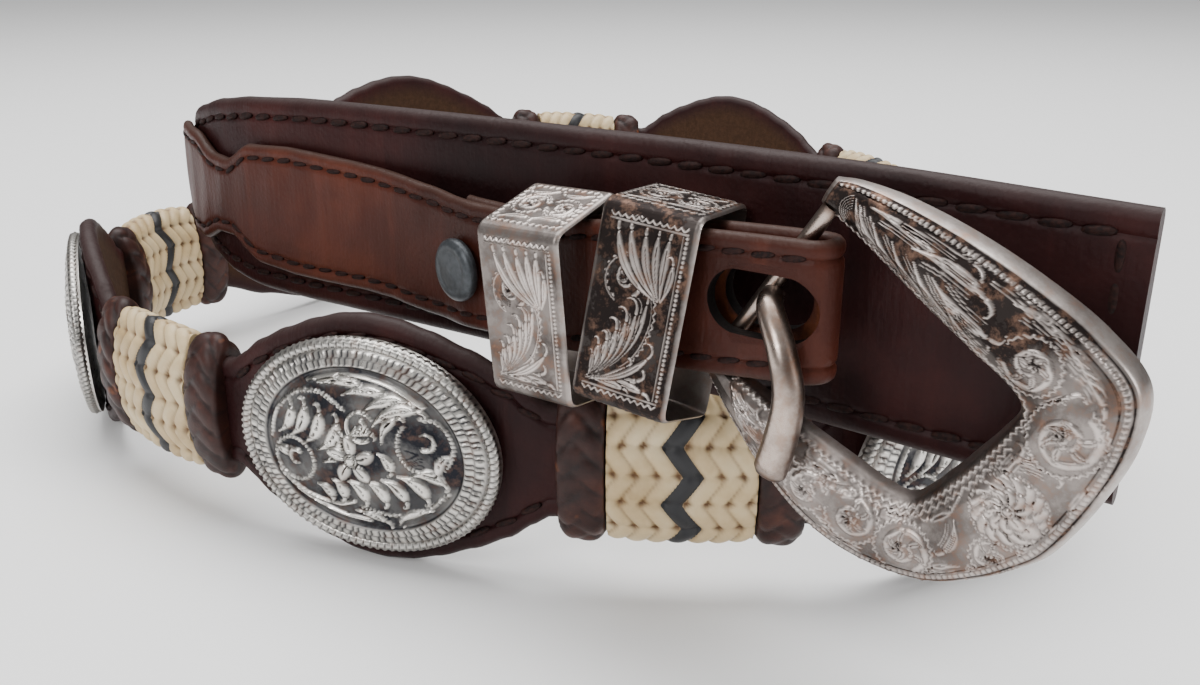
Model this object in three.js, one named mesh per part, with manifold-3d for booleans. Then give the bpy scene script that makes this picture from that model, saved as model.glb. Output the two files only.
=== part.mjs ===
// Western belt, coiled and standing on its lower edges: scalloped strap with conchos,
// rawhide wraps between braided rings, and a raised buckle end with two keepers.
// Millimetres, +Z up. The viewer of the coil looks along +Y with +X to the right.
import * as THREE from 'three';
import { mergeVertices } from 'three/addons/utils/BufferGeometryUtils.js';
import Module from 'manifold-3d';

const wasm = await Module();
wasm.setup();

// driving dimensions
const END_WIDTH = 36;          // plain strap under the buckle
const SCALLOP_WIDTH = 42;      // widest part of a concho segment
const NECK_WIDTH = 19;         // leather under a wrap
const STRAP_THICK = 3.2;
const BILLET_THICK = 2.0;
const BILLET_WIDTH = 19.05;    // three quarter inch billet
const PIECE_GAP = 0.4;
const WRAP_LENGTH = 22;
const RING_LENGTH = 7;
const RING_OFFSET = 14.8;      // ring centre from wrap centre
const RING_REACH = RING_OFFSET + RING_LENGTH / 2 + 0.4;
const BAND_HALF = { z: 12.8, n: 4.4 };
const RING_HALF = { z: 12.9, n: 4.9 };
const CONCHO = { length: 45, height: 35.5, dome: 4.6 };
const SLOT = { width: 8.4, z: 53.9, end: 49.5, front: 34.6, back: 37.2 };  // tongue slot in the billet
const BUCKLE_TILT = 33.3;      // degrees that the buckle hangs off square
const FRAME_OFF = 9.7;         // buckle underside in front of the strap centre

// colours
const leatherDark = { color: 0x33201d, roughness: 0.55, metalness: 0 };
const leatherRed = { color: 0x5a3029, roughness: 0.5, metalness: 0 };
const leatherRing = { color: 0x3d221e, roughness: 0.6, metalness: 0 };
const rawhide = { color: 0xd8c7a0, roughness: 0.6, metalness: 0 };
const silver = { color: 0xb9b5b0, roughness: 0.3, metalness: 1 };
const gunmetal = { color: 0x2f3136, roughness: 0.45, metalness: 0.7 };

// the coil, as knots of the strap's centre line from the squared end to the tip
const knots = [
  { at: 'squared end', x: 61.0, y: 121.6, z: 50.8 },
  { at: 'under the buckle', x: 28.8, y: 143.5, z: 52.1 },
  { at: 'under the keepers', x: -10.0, y: 169.9, z: 52.2 },
  { at: 'billet', x: -43.6, y: 192.6, z: 51.8 },
  { at: 'bend begins', x: -66.0, y: 209.4, z: 51.0 },
  { at: 'bend', x: -77.5, y: 226.0, z: 50.4 },
  { at: 'bend ends', x: -80.5, y: 245.0, z: 49.2 },
  { at: 'wrap 1', x: -77.5, y: 266.0, z: 47.0 },
  { at: 'segment 1', x: -50.0, y: 308.0, z: 38.5 },
  { at: 'wrap 2', x: -7.0, y: 332.0, z: 33.2 },
  { at: 'segment 2', x: 37.5, y: 330.0, z: 30.0 },
  { at: 'wrap 3', x: 71.5, y: 298.0, z: 27.0 },
  { at: 'segment 3', x: 86.0, y: 252.0, z: 22.2 },
  { at: 'wrap 4', x: 82.0, y: 202.0, z: 21.0 },
  { at: 'segment 4', x: 54.5, y: 161.5, z: 21.0 },
  { at: 'wrap 5', x: 12.3, y: 155.6, z: 21.0 },
  { at: 'segment 5', x: -35.2, y: 165.4, z: 21.0 },
  { at: 'wrap 6', x: -76.2, y: 187.2, z: 21.0 },
  { at: 'segment 6', x: -101.8, y: 222.5, z: 21.0 },
  { at: 'wrap 7', x: -105.0, y: 262.0, z: 21.0 },
  { at: 'tip strap', x: -88.0, y: 285.5, z: 20.0 },
  { at: 'tip strap', x: -58.5, y: 320.0, z: 19.0 },
  { at: 'tip strap', x: -9.0, y: 347.0, z: 18.8 },
  { at: 'tip', x: 38.0, y: 349.0, z: 18.8 },
];
const coil = new THREE.CatmullRomCurve3(
  knots.map((k) => new THREE.Vector3(k.x, k.y, k.z)), false, 'centripetal');
coil.arcLengthDivisions = 2400;
const coilLength = coil.getLength();

// distance along the strap at a knot
function reach(name) {
  const index = knots.findIndex((k) => k.at === name);
  const lengths = coil.getLengths();
  return lengths[Math.round((index / (knots.length - 1)) * (lengths.length - 1))];
}

// point at s along the strap, n outward from its centre, z above its centre
function onStrap(s, n, z) {
  const u = THREE.MathUtils.clamp(s / coilLength, 0, 1);
  const centre = coil.getPointAt(u);
  const t = coil.getTangentAt(u);
  const outward = new THREE.Vector3(-t.y, t.x, 0).normalize();
  return new THREE.Vector3(centre.x + outward.x * n, centre.y + outward.y * n, centre.z + z);
}

// smooth reading of a table of rows { at, value }
function read(table, at) {
  if (at <= table[0].at) return table[0].value;
  for (let i = 1; i < table.length; i += 1) {
    const a = table[i - 1];
    const b = table[i];
    if (at <= b.at) {
      const t = (at - a.at) / (b.at - a.at);
      return THREE.MathUtils.lerp(a.value, b.value, t * t * (3 - 2 * t) * 0.5 + t * 0.5);
    }
  }
  return table[table.length - 1].value;
}

function bend(geometry, place) {
  const position = geometry.attributes.position;
  for (let i = 0; i < position.count; i += 1) {
    const p = place(position.getX(i), position.getY(i), position.getZ(i));
    position.setXYZ(i, p.x, p.y, p.z);
  }
  geometry.computeVertexNormals();
  return geometry;
}

const belt = new THREE.Group();

function add(name, geometry, look, parent = belt) {
  const mesh = new THREE.Mesh(geometry, new THREE.MeshStandardMaterial(look));
  mesh.name = name;
  parent.add(mesh);
  return mesh;
}

// booleans
function toSolid(geometry) {
  let bare = geometry.clone();
  bare.deleteAttribute('normal');
  bare.deleteAttribute('uv');
  bare = mergeVertices(bare, 1e-4);
  return new wasm.Manifold(new wasm.Mesh({
    numProp: 3,
    vertProperties: new Float32Array(bare.attributes.position.array),
    triVerts: new Uint32Array(bare.index.array),
  }));
}

function fromSolid(solid) {
  const mesh = solid.getMesh();
  const geometry = new THREE.BufferGeometry();
  geometry.setAttribute('position', new THREE.BufferAttribute(mesh.vertProperties, 3));
  geometry.setIndex(new THREE.BufferAttribute(mesh.triVerts, 1));
  geometry.computeVertexNormals();
  return geometry;
}

// strap pieces
// half width of a concho segment against its distance from the middle, as a share of the
// way to the braided ring
const scallop = [
  { at: 0, value: SCALLOP_WIDTH / 2 },
  { at: 0.17, value: 20.5 },
  { at: 0.34, value: 19.1 },
  { at: 0.54, value: 16.8 },
  { at: 0.74, value: 14.0 },
  { at: 0.87, value: 11.2 },
  { at: 0.96, value: NECK_WIDTH / 2 },
];
// half width of the buckle end strap against the distance from its squared end
const buckleEnd = [
  { at: 0, value: END_WIDTH / 2 },
  { at: 134, value: END_WIDTH / 2 },
  { at: 148, value: 17.6 },
  { at: 158, value: 16.6 },
  { at: 168, value: 14.6 },
  { at: 180, value: 11.4 },
  { at: 191, value: NECK_WIDTH / 2 },
];
// half width of the tip strap against the distance from the last wrap
const tipLength = coilLength - reach('wrap 7');
const tipEnd = [
  { at: 0, value: NECK_WIDTH / 2 },
  { at: 19, value: NECK_WIDTH / 2 },
  { at: 30, value: 13.5 },
  { at: 44, value: 17.4 },
  { at: 60, value: 18 },
  { at: tipLength - 16, value: 18 },
  { at: tipLength - 6, value: 14.5 },
  { at: tipLength - 0.5, value: 7 },
];

function strapPiece(name, from, to, halfWidth, steps) {
  const length = to - from;
  const strip = new THREE.BoxGeometry(length, STRAP_THICK, 2, steps, 1, 2);
  bend(strip, (x, y, z) => {
    const s = from + x + length / 2;
    return onStrap(s, y, z * halfWidth(s));
  });
  return add(name, strip, leatherDark);
}

const segmentAt = [1, 2, 3, 4, 5, 6].map((n) => reach(`segment ${n}`));
const wrapAt = [1, 2, 3, 4, 5, 6, 7].map((n) => reach(`wrap ${n}`));
const half = PIECE_GAP / 2;

strapPiece('strap_buckle_end', 0, wrapAt[0] - half, (s) => read(buckleEnd, s), 52);
segmentAt.forEach((middle, i) => {
  const from = wrapAt[i] + half;
  const to = wrapAt[i + 1] - half;
  strapPiece(`scallop_${i + 1}`, from, to, (s) => {
    const side = s < middle ? middle - wrapAt[i] : wrapAt[i + 1] - middle;
    return read(scallop, Math.abs(s - middle) / (side - RING_REACH));
  }, 32);
});
strapPiece('strap_tip_end', wrapAt[6] + half, coilLength, (s) => read(tipEnd, s - wrapAt[6]), 36);

// wraps and braided rings
function ovalRing(outer, hole) {
  const shape = new THREE.Shape();
  shape.absellipse(0, 0, outer.n, outer.z, 0, Math.PI * 2);
  const inner = new THREE.Path();
  inner.moveTo(-hole.n, -hole.z);
  inner.lineTo(hole.n, -hole.z);
  inner.lineTo(hole.n, hole.z);
  inner.lineTo(-hole.n, hole.z);
  inner.closePath();
  shape.holes.push(inner);
  return shape;
}

// a sleeve round the neck of the strap, with rounded ends
function sleeve(name, middle, length, outer, rounding, steps, look) {
  const hole = { n: STRAP_THICK / 2 + PIECE_GAP, z: NECK_WIDTH / 2 + PIECE_GAP };
  const geometry = new THREE.ExtrudeGeometry(ovalRing(outer, hole), {
    depth: length, steps, bevelEnabled: false, curveSegments: 5,
  });
  bend(geometry, (x, y, z) => {
    const along = (2 * z) / length - 1;
    const onHole = Math.abs(x) <= hole.n + 1e-3 && Math.abs(y) <= hole.z + 1e-3;
    const shrink = onHole ? 1 : 1 - rounding * along ** 4;
    return onStrap(middle - length / 2 + z, x * shrink, y * shrink);
  });
  return add(name, geometry, look);
}

wrapAt.forEach((middle, i) => {
  sleeve(`rawhide_wrap_${i + 1}`, middle, WRAP_LENGTH, BAND_HALF, 0.05, 4, rawhide);
  [-1, 1].forEach((side) => {
    const tag = side < 0 ? 'a' : 'b';
    sleeve(`braid_ring_${i + 1}${tag}`, middle + side * RING_OFFSET, RING_LENGTH, RING_HALF, 0.08, 2,
      leatherRing);
  });
});

// conchos: domed ovals with a raised rim, one on the middle of each segment
const conchoProfile = [
  { r: 0, h: 0 },
  { r: 1, h: 0 },
  { r: 1, h: 0.30 },
  { r: 0.96, h: 0.42 },
  { r: 0.9, h: 0.40 },
  { r: 0.78, h: 0.58 },
  { r: 0.72, h: 0.66 },
  { r: 0.45, h: 0.90 },
  { r: 0, h: 1 },
];
segmentAt.forEach((middle, i) => {
  const profile = conchoProfile.map((p) => new THREE.Vector2(p.r, p.h * CONCHO.dome));
  const disc = new THREE.LatheGeometry(profile, 30);
  disc.scale(CONCHO.length / 2, 1, CONCHO.height / 2);
  disc.rotateX(Math.PI / 2);
  const concho = add(`concho_${i + 1}`, disc, silver);
  const before = onStrap(middle - 20, 0, 0);
  const after = onStrap(middle + 20, 0, 0);
  const along = new THREE.Vector3().subVectors(before, after).normalize();
  const out = new THREE.Vector3(along.y, -along.x, 0).normalize();
  const up = new THREE.Vector3().crossVectors(out, along).normalize();
  let lift = 0;
  for (let s = -22.5; s <= 22.5; s += 2.5) {
    const surface = onStrap(middle + s, STRAP_THICK / 2, 0);
    lift = Math.max(lift, surface.sub(onStrap(middle, 0, 0)).dot(out));
  }
  const seat = onStrap(middle, 0, 0).addScaledVector(out, lift + 0.3);
  concho.matrixAutoUpdate = false;
  concho.matrix.makeBasis(along, up, out).setPosition(seat);
});

// buckle end, in a frame that lies on the plain strap
// x runs towards the squared end, y away from the viewer, z up
const end = new THREE.Group();
end.position.set(62.3, 120.7, 0);
end.rotation.z = -Math.atan2(0.562, 0.827);
belt.add(end);

// the billet: front layer from the wrapped round bend to the fold, and back under itself
const billetOff = [
  { at: 33, value: 13.4 },
  { at: 58, value: 13.2 },
  { at: 77, value: 10.9 },
  { at: 90, value: 8.4 },
  { at: 102, value: 5.2 },
  { at: 114, value: 3.2 },
  { at: 122, value: 2.9 },
];
const billetRise = [
  { at: 33, value: 53.8 },
  { at: 58, value: 52.2 },
  { at: 77, value: 49.8 },
  { at: 96, value: 49.0 },
  { at: 120, value: 50.0 },
  { at: 170, value: 50.6 },
];
const billetHalf = [
  { at: 33, value: 9.1 },
  { at: 50, value: BILLET_WIDTH / 2 },
  { at: 80, value: BILLET_WIDTH / 2 },
  { at: 110, value: 10.7 },
  { at: 136, value: 11.4 },
  { at: 146, value: 10.8 },
  { at: 153, value: 7.2 },
  { at: 158, value: 7.4 },
  { at: 166, value: 10.4 },
  { at: 176, value: 10.6 },
  { at: 182, value: 7.5 },
];
const FOLD_AT = 35.2;
const FOLD_GAP = 4.9;          // between the two layers' centres at the fold
const BACK_END = 94;

// outer route of the billet: distance r along it gives { s, off }
const BILLET_REACH = 182;
const frontLength = BILLET_REACH - FOLD_AT;
const foldLength = (Math.PI * FOLD_GAP) / 2;
const backLength = BACK_END - FOLD_AT;
const routeLength = frontLength + foldLength + backLength;

function billetRoute(r) {
  if (r <= frontLength) {
    const s = BILLET_REACH - r;
    return { s, off: read(billetOff, s), tilt: 0 };
  }
  if (r <= frontLength + foldLength) {
    const angle = ((r - frontLength) / foldLength) * Math.PI;
    const middle = read(billetOff, FOLD_AT) - FOLD_GAP / 2;
    return {
      s: FOLD_AT - (Math.sin(angle) * FOLD_GAP) / 2,
      off: middle + (Math.cos(angle) * FOLD_GAP) / 2,
      tilt: angle,
    };
  }
  const s = FOLD_AT + (r - frontLength - foldLength);
  const closing = THREE.MathUtils.smoothstep(s, FOLD_AT + 17, 76);
  return { s, off: read(billetOff, s) - THREE.MathUtils.lerp(FOLD_GAP, 2.3, closing), tilt: Math.PI };
}

const strip = new THREE.BoxGeometry(routeLength, BILLET_THICK, 2, 120, 1, 2);
bend(strip, (x, y, z) => {
  const here = billetRoute(x + routeLength / 2);
  const shift = -y;
  const s = here.s - Math.sin(here.tilt) * shift;
  const off = here.off + Math.cos(here.tilt) * shift;
  const rise = read(billetRise, s) - onStrap(s, 0, 0).z;
  return onStrap(s, off, rise + z * read(billetHalf, s));
});

function slotCutter(from, offFrom, offTo) {
  const outline = new THREE.Shape();
  const r = SLOT.width / 2;
  outline.moveTo(-SLOT.end + r, -r);
  outline.lineTo(-from - r, -r);
  outline.absarc(-from - r, 0, r, -Math.PI / 2, Math.PI / 2, false);
  outline.lineTo(-SLOT.end + r, r);
  outline.absarc(-SLOT.end + r, 0, r, Math.PI / 2, Math.PI * 1.5, false);
  const cutter = new THREE.ExtrudeGeometry(outline, {
    depth: offTo - offFrom, bevelEnabled: false, curveSegments: 6,
  });
  cutter.rotateX(Math.PI / 2);
  cutter.translate(0, -offFrom, SLOT.z);
  cutter.rotateZ(end.rotation.z);
  cutter.translate(end.position.x, end.position.y, end.position.z);
  return toSolid(cutter);
}

const billet = toSolid(strip)
  .subtract(slotCutter(SLOT.front, 11.4, 17))
  .subtract(slotCutter(SLOT.back, 5, 12));
add('billet', fromSolid(billet), leatherRed);

// snap cap on the billet beside the keepers
const snap = new THREE.LatheGeometry([
  new THREE.Vector2(0, 0),
  new THREE.Vector2(4.7, 0),
  new THREE.Vector2(4.8, 0.9),
  new THREE.Vector2(4.0, 1.7),
  new THREE.Vector2(0, 2.0),
], 24);
const snapCap = add('snap_cap', snap, gunmetal, end);
snapCap.position.set(-94.6, -9.25, 48.6);
snapCap.rotation.z = THREE.MathUtils.degToRad(165);

// keepers: boxy loops round both layers of the billet
const KEEPER = { length: 14.0, depth: 14.0, wall: 0.9 };
function keeper(name, { back, front }, place) {
  const { depth, wall } = KEEPER;
  const shape = new THREE.Shape();
  shape.moveTo(0, -back);
  shape.lineTo(depth - 1.6, -front - 0.9);
  shape.lineTo(depth, -front + 0.8);
  shape.lineTo(depth, front - 0.8);
  shape.lineTo(depth - 1.6, front + 0.9);
  shape.lineTo(0, back);
  shape.closePath();
  const inner = new THREE.Path();
  inner.moveTo(wall, -back + wall);
  inner.lineTo(wall, back - wall);
  inner.lineTo(depth - wall - 0.5, front - 0.5);
  inner.lineTo(depth - wall - 0.5, -front + 0.5);
  inner.closePath();
  shape.holes.push(inner);
  const loop = new THREE.ExtrudeGeometry(shape, {
    depth: KEEPER.length, bevelEnabled: false,
  });
  loop.translate(-depth / 2, 0, -KEEPER.length / 2);
  const mesh = add(name, loop, silver, end);
  // profile x becomes outward, profile y up, and the length runs along the strap
  const turn = new THREE.Matrix4().makeBasis(
    new THREE.Vector3(0, -1, 0), new THREE.Vector3(0, 0, 1), new THREE.Vector3(-1, 0, 0));
  const lean = new THREE.Matrix4().makeRotationY(THREE.MathUtils.degToRad(place.clockwise));
  const yaw = new THREE.Matrix4().makeRotationZ(THREE.MathUtils.degToRad(place.yaw));
  const tip = new THREE.Matrix4().makeRotationX(THREE.MathUtils.degToRad(place.tip));
  mesh.matrixAutoUpdate = false;
  mesh.matrix.copy(yaw.multiply(lean).multiply(tip).multiply(turn));
  mesh.matrix.setPosition(-place.s, -place.off, place.z);
  return mesh;
}
keeper('keeper_1', { back: 15.0, front: 11.9 },
  { s: 74.6, off: 12.3, z: 48.1, clockwise: -1.6, yaw: -2.5, tip: 4.4 });
keeper('keeper_2', { back: 15.0, front: 12.8 },
  { s: 58.1, off: 11.7, z: 50.4, clockwise: 5.3, yaw: 2.3, tip: -10 });

// buckle: a C shaped engraved frame, its bar in the fold and its tongue
// inner and outer edge of each side of the frame, from the ear to the far side: a along the
// bar, b away from it; the upper side reaches further than the lower one
const upperRows = [
  { innerB: -1.6, innerA: 12.6, outerB: -1.8, outerA: 16.2, rise: 2.3 },
  { innerB: 1.6, innerA: 12.6, outerB: 1.2, outerA: 18.0, rise: 2.6 },
  { innerB: 6.5, innerA: 12.6, outerB: 7.0, outerA: 20.2, rise: 4.0 },
  { innerB: 14.0, innerA: 11.9, outerB: 15.0, outerA: 22.0, rise: 4.6 },
  { innerB: 22.0, innerA: 11.4, outerB: 23.5, outerA: 23.0, rise: 4.8 },
  { innerB: 28.6, innerA: 11.0, outerB: 31.5, outerA: 23.1, rise: 4.8 },
  { innerB: 31.0, innerA: 9.6, outerB: 38.5, outerA: 21.4, rise: 4.8 },
  { innerB: 31.2, innerA: 6.0, outerB: 42.4, outerA: 15.5, rise: 4.8 },
  { innerB: 31.0, innerA: 3.0, outerB: 44.3, outerA: 8.0, rise: 4.8 },
  { innerB: 30.8, innerA: 0.0, outerB: 45.0, outerA: 0.0, rise: 4.8 },
];
const lowerRows = [
  { innerB: 30.5, innerA: -2.5, outerB: 44.0, outerA: -4.5, rise: 4.8 },
  { innerB: 30.2, innerA: -5.0, outerB: 41.8, outerA: -9.5, rise: 4.8 },
  { innerB: 29.4, innerA: -7.6, outerB: 37.8, outerA: -15.0, rise: 4.8 },
  { innerB: 27.0, innerA: -9.0, outerB: 31.0, outerA: -19.2, rise: 4.8 },
  { innerB: 21.0, innerA: -10.0, outerB: 23.5, outerA: -21.1, rise: 4.8 },
  { innerB: 14.0, innerA: -11.0, outerB: 15.0, outerA: -20.2, rise: 4.6 },
  { innerB: 6.5, innerA: -11.9, outerB: 7.0, outerA: -17.8, rise: 3.8 },
  { innerB: 1.6, innerA: -12.6, outerB: 1.2, outerA: -16.0, rise: 2.2 },
  { innerB: -1.6, innerA: -12.6, outerB: -1.8, outerA: -14.8, rise: 2.1 },
];
// height across the frame from the window to the rim, as a share of its rise
const frameDome = [
  { at: 0, value: 0.4 },
  { at: 0.25, value: 0.88 },
  { at: 0.5, value: 1 },
  { at: 0.75, value: 0.86 },
  { at: 1, value: 0.36 },
];
const frameStations = upperRows.concat(lowerRows);
const frameCurves = {
  inner: new THREE.CatmullRomCurve3(
    frameStations.map((r) => new THREE.Vector3(r.innerB, r.innerA, r.rise))),
  outer: new THREE.CatmullRomCurve3(
    frameStations.map((r) => new THREE.Vector3(r.outerB, r.outerA, r.rise))),
};
const frameBlank = new THREE.BoxGeometry(2, 1, 1, 44, 4, 1);
bend(frameBlank, (x, y, z) => {
  const t = (1 - x) / 2;
  const across = 0.5 - y;
  const inside = frameCurves.inner.getPoint(t);
  const outside = frameCurves.outer.getPoint(t);
  const p = new THREE.Vector3().lerpVectors(outside, inside, 1 - across);
  p.z = z > 0 ? p.z * read(frameDome, across) : 0;
  return p;
});
const BAR = { r: 1.1, h: 1.15, half: 13.4 };
function barSolid(radius, length, place) {
  const rod = new THREE.CylinderGeometry(radius, radius, length, 12);
  place(rod);
  return toSolid(rod);
}
let frame = toSolid(frameBlank);
if (frame.volume() < 0) throw new Error('frame is inside out');
frame = frame.add(barSolid(BAR.r, 2 * BAR.half, (rod) => rod.translate(0, 0, BAR.h)));
const tiltRad = THREE.MathUtils.degToRad(BUCKLE_TILT);
const buckleBasis = new THREE.Matrix4().makeBasis(
  new THREE.Vector3(Math.cos(tiltRad), 0, -Math.sin(tiltRad)),
  new THREE.Vector3(Math.sin(tiltRad), 0, Math.cos(tiltRad)),
  new THREE.Vector3(0, -1, 0)).setPosition(-42.5, -FRAME_OFF, 55.4);
const buckle = add('buckle', fromSolid(frame), silver, end);
buckle.matrixAutoUpdate = false;
buckle.matrix.copy(buckleBasis);

// the tongue: a collar round the bar, out through the slot and down across the billet
const tongueKnots = [
  { x: -42.0, off: 11.2, z: 54.6 },
  { x: -40.6, off: 14.6, z: 53.9 },
  { x: -37.6, off: 17.0, z: 49.6 },
  { x: -36.2, off: 17.6, z: 44.4 },
  { x: -36.9, off: 17.6, z: 38.8 },
  { x: -38.4, off: 17.4, z: 33.4 },
];
const tongueCurve = new THREE.CatmullRomCurve3(
  tongueKnots.map((k) => new THREE.Vector3(k.x, -k.off, k.z)));
const tongueSection = new THREE.Shape();
tongueSection.absellipse(0, 0, 2.0, 2.0, 0, Math.PI * 2);
const prong = new THREE.ExtrudeGeometry(tongueSection, {
  steps: 16, curveSegments: 5, bevelEnabled: false, extrudePath: tongueCurve,
});
const collarSection = new THREE.Shape();
collarSection.absarc(0, 0, 2.35, 0, Math.PI * 2);
const collarHole = new THREE.Path();
collarHole.absarc(0, 0, BAR.r + 0.35, 0, Math.PI * 2);
collarSection.holes.push(collarHole);
const collar = new THREE.ExtrudeGeometry(collarSection, {
  depth: 3.6, bevelEnabled: false, curveSegments: 8,
});
collar.translate(0, 0, -1.8);
collar.rotateX(Math.PI / 2);
collar.translate(0, 0, BAR.h);
collar.applyMatrix4(buckleBasis);
const boreRod = new THREE.CylinderGeometry(BAR.r + 0.35, BAR.r + 0.35, 9, 16);
boreRod.translate(0, 0, BAR.h);
boreRod.applyMatrix4(buckleBasis);
const tongue = toSolid(prong).add(toSolid(collar)).subtract(toSolid(boreRod));
add('tongue', fromSolid(tongue), silver, end);

// origin at the middle of the footprint, on the floor
belt.updateMatrixWorld(true);
const box = new THREE.Box3().setFromObject(belt, true);
const middle = box.getCenter(new THREE.Vector3());
belt.position.set(-middle.x, -middle.y, -box.min.z);

export default belt;
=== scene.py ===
from math import atan2, cos, pi, radians, sin, tau

import bpy
import numpy as np
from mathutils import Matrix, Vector


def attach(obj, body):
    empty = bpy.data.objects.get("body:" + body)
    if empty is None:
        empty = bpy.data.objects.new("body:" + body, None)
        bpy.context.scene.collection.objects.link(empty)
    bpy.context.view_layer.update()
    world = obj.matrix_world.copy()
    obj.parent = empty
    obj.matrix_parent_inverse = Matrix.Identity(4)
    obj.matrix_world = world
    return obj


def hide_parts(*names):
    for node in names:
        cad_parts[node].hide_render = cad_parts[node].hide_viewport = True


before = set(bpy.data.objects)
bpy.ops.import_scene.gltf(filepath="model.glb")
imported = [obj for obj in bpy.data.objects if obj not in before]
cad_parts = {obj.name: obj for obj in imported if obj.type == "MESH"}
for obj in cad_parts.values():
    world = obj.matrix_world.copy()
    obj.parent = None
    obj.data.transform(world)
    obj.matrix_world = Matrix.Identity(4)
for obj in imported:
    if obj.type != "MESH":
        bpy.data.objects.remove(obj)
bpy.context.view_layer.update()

bpy.ops.object.select_all(action="DESELECT")

# the camera; all places are in millimetres from the floor below it
photo = {"width": 1200, "focalPixels": 1150, "pitchDown": 20.2, "cameraHeight": 98.0}
shift = np.array([9.892, -230.558, -0.021])   # from there to the belt's own origin
upward = np.array([0.0, 0.0, 1.0])

coil = {
    "spacing": 260,
    "knots": (
        ("squared end", 61.0, 121.6, 50.8),
        ("under the buckle", 28.8, 143.5, 52.1),
        ("under the keepers", -10.0, 169.9, 52.2),
        ("billet", -43.6, 192.6, 51.8),
        ("bend begins", -66.0, 209.4, 51.0),
        ("bend", -77.5, 226.0, 50.4),
        ("bend ends", -80.5, 245.0, 49.2),
        ("wrap 1", -77.5, 266.0, 47.0),
        ("segment 1", -50.0, 308.0, 38.5),
        ("wrap 2", -7.0, 332.0, 33.2),
        ("segment 2", 37.5, 330.0, 30.0),
        ("wrap 3", 71.5, 298.0, 27.0),
        ("segment 3", 86.0, 252.0, 22.2),
        ("wrap 4", 82.0, 202.0, 21.0),
        ("segment 4", 54.5, 161.5, 21.0),
        ("wrap 5", 12.3, 155.6, 21.0),
        ("segment 5", -35.2, 165.4, 21.0),
        ("wrap 6", -76.2, 187.2, 21.0),
        ("segment 6", -101.8, 222.5, 21.0),
        ("wrap 7", -105.0, 262.0, 21.0),
        ("tip strap 1", -88.0, 285.5, 20.0),
        ("tip strap 2", -58.5, 320.0, 19.0),
        ("tip strap 3", -9.0, 347.0, 18.8),
        ("tip", 38.0, 349.0, 18.8),
    ),
}

strap = {"thick": 3.2, "endWidth": 36.0, "scallopWidth": 42.0, "neckWidth": 19.0, "grooveIn": 3.3}
strapStitch = {"pitch": 4.7, "length": 3.9, "slant": 0.12, "width": 0.62, "proud": 0.5}
wrap = {"length": 22.0, "halfHeight": 12.8, "halfDepth": 4.4, "relief": 1.0}
ring = {"length": 7.0, "offset": 14.8, "halfHeight": 12.9, "halfDepth": 4.9, "relief": 1.0}
conchoSize = {"halfLength": 22.5, "halfHeight": 17.75}


def unit(vectors):
    return vectors / np.linalg.norm(vectors, axis=-1, keepdims=True)


def pathDistance(path):
    return np.concatenate([[0], np.cumsum(np.linalg.norm(np.diff(path, axis=0), axis=1))])


# points with one more at each end, straight on
def withEnds(points):
    return np.vstack([2 * points[0] - points[1], points, 2 * points[-1] - points[-2]])


def centreLine(knots, spacing):
    points = np.array([k[1:] for k in knots])
    ends = withEnds(points)
    steps = np.linspace(0, len(points) - 1, (len(points) - 1) * spacing + 1)
    index = np.minimum(steps.astype(int), len(points) - 2)
    f = (steps - index)[:, None]
    a, b, c, d = (ends[index + k] for k in range(4))
    ab, bc, cd = (np.linalg.norm(q - p, axis=1)[:, None] ** 0.5 for p, q in ((a, b), (b, c), (c, d)))
    leave = ((b - a) / ab - (c - a) / (ab + bc) + (c - b) / bc) * bc
    arrive = ((c - b) / bc - (d - b) / (bc + cd) + (d - c) / cd) * bc
    line = b + leave * f + (3 * (c - b) - 2 * leave - arrive) * f ** 2
    return line + (2 * (b - c) + leave + arrive) * f ** 3


line = centreLine(coil["knots"], coil["spacing"])
arc = pathDistance(line)
tangent = np.gradient(line, axis=0)


def reach(name):
    return arc[[k[0] for k in coil["knots"]].index(name) * coil["spacing"]]


# point at s along the strap, n outwards from its centre and z above it
def onStrap(s, n, z):
    s = np.asarray(s, float)
    x, y, height = (np.interp(s, arc, line[:, k]) for k in range(3))
    tx, ty = (np.interp(s, arc, tangent[:, k]) for k in range(2))
    size = np.hypot(tx, ty)
    return np.stack(np.broadcast_arrays(x - ty / size * n, y + tx / size * n, height + z), axis=-1)


# straight and smooth reading of rows of (at, value)
def linesAt(rows, t):
    return np.interp(t, *zip(*rows))


def tableAt(rows, s):
    at = np.array([r[0] for r in rows], float)
    value = np.array([r[1] for r in rows], float)
    s = np.clip(s, at[0], at[-1])
    i = np.clip(np.searchsorted(at, s) - 1, 0, len(at) - 2)
    t = (s - at[i]) / (at[i + 1] - at[i])
    t = 0.5 * t + 0.5 * t * t * (3 - 2 * t)
    return value[i] * (1 - t) + value[i + 1] * t


wrapAt = [reach(f"wrap {n}") for n in range(1, 8)]
segmentAt = [reach(f"segment {n}") for n in range(1, 7)]
strapLength = arc[-1]
ringReach = ring["offset"] + ring["length"] / 2 + 0.4

# half widths of the strap against the share of the way from a segment's middle to its ring
neckHalf = strap["neckWidth"] / 2
scallopRows = ((0, strap["scallopWidth"] / 2), (0.17, 20.5), (0.34, 19.1), (0.54, 16.8), (0.74, 14.0),
               (0.87, 11.2), (0.96, neckHalf))
# and against the distance from the squared end, and from the last wrap
endHalf = strap["endWidth"] / 2
buckleEndRows = ((0, endHalf), (134, endHalf), (148, 17.6), (158, 16.6), (168, 14.6), (180, 11.4),
                 (191, neckHalf))
tipLength = strapLength - wrapAt[6]
tipEndRows = ((0, neckHalf), (19, neckHalf), (30, 13.5), (44, 17.4), (60, endHalf), (tipLength - 16, endHalf),
              (tipLength - 6, 14.5), (tipLength - 0.5, 7.0))


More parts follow.
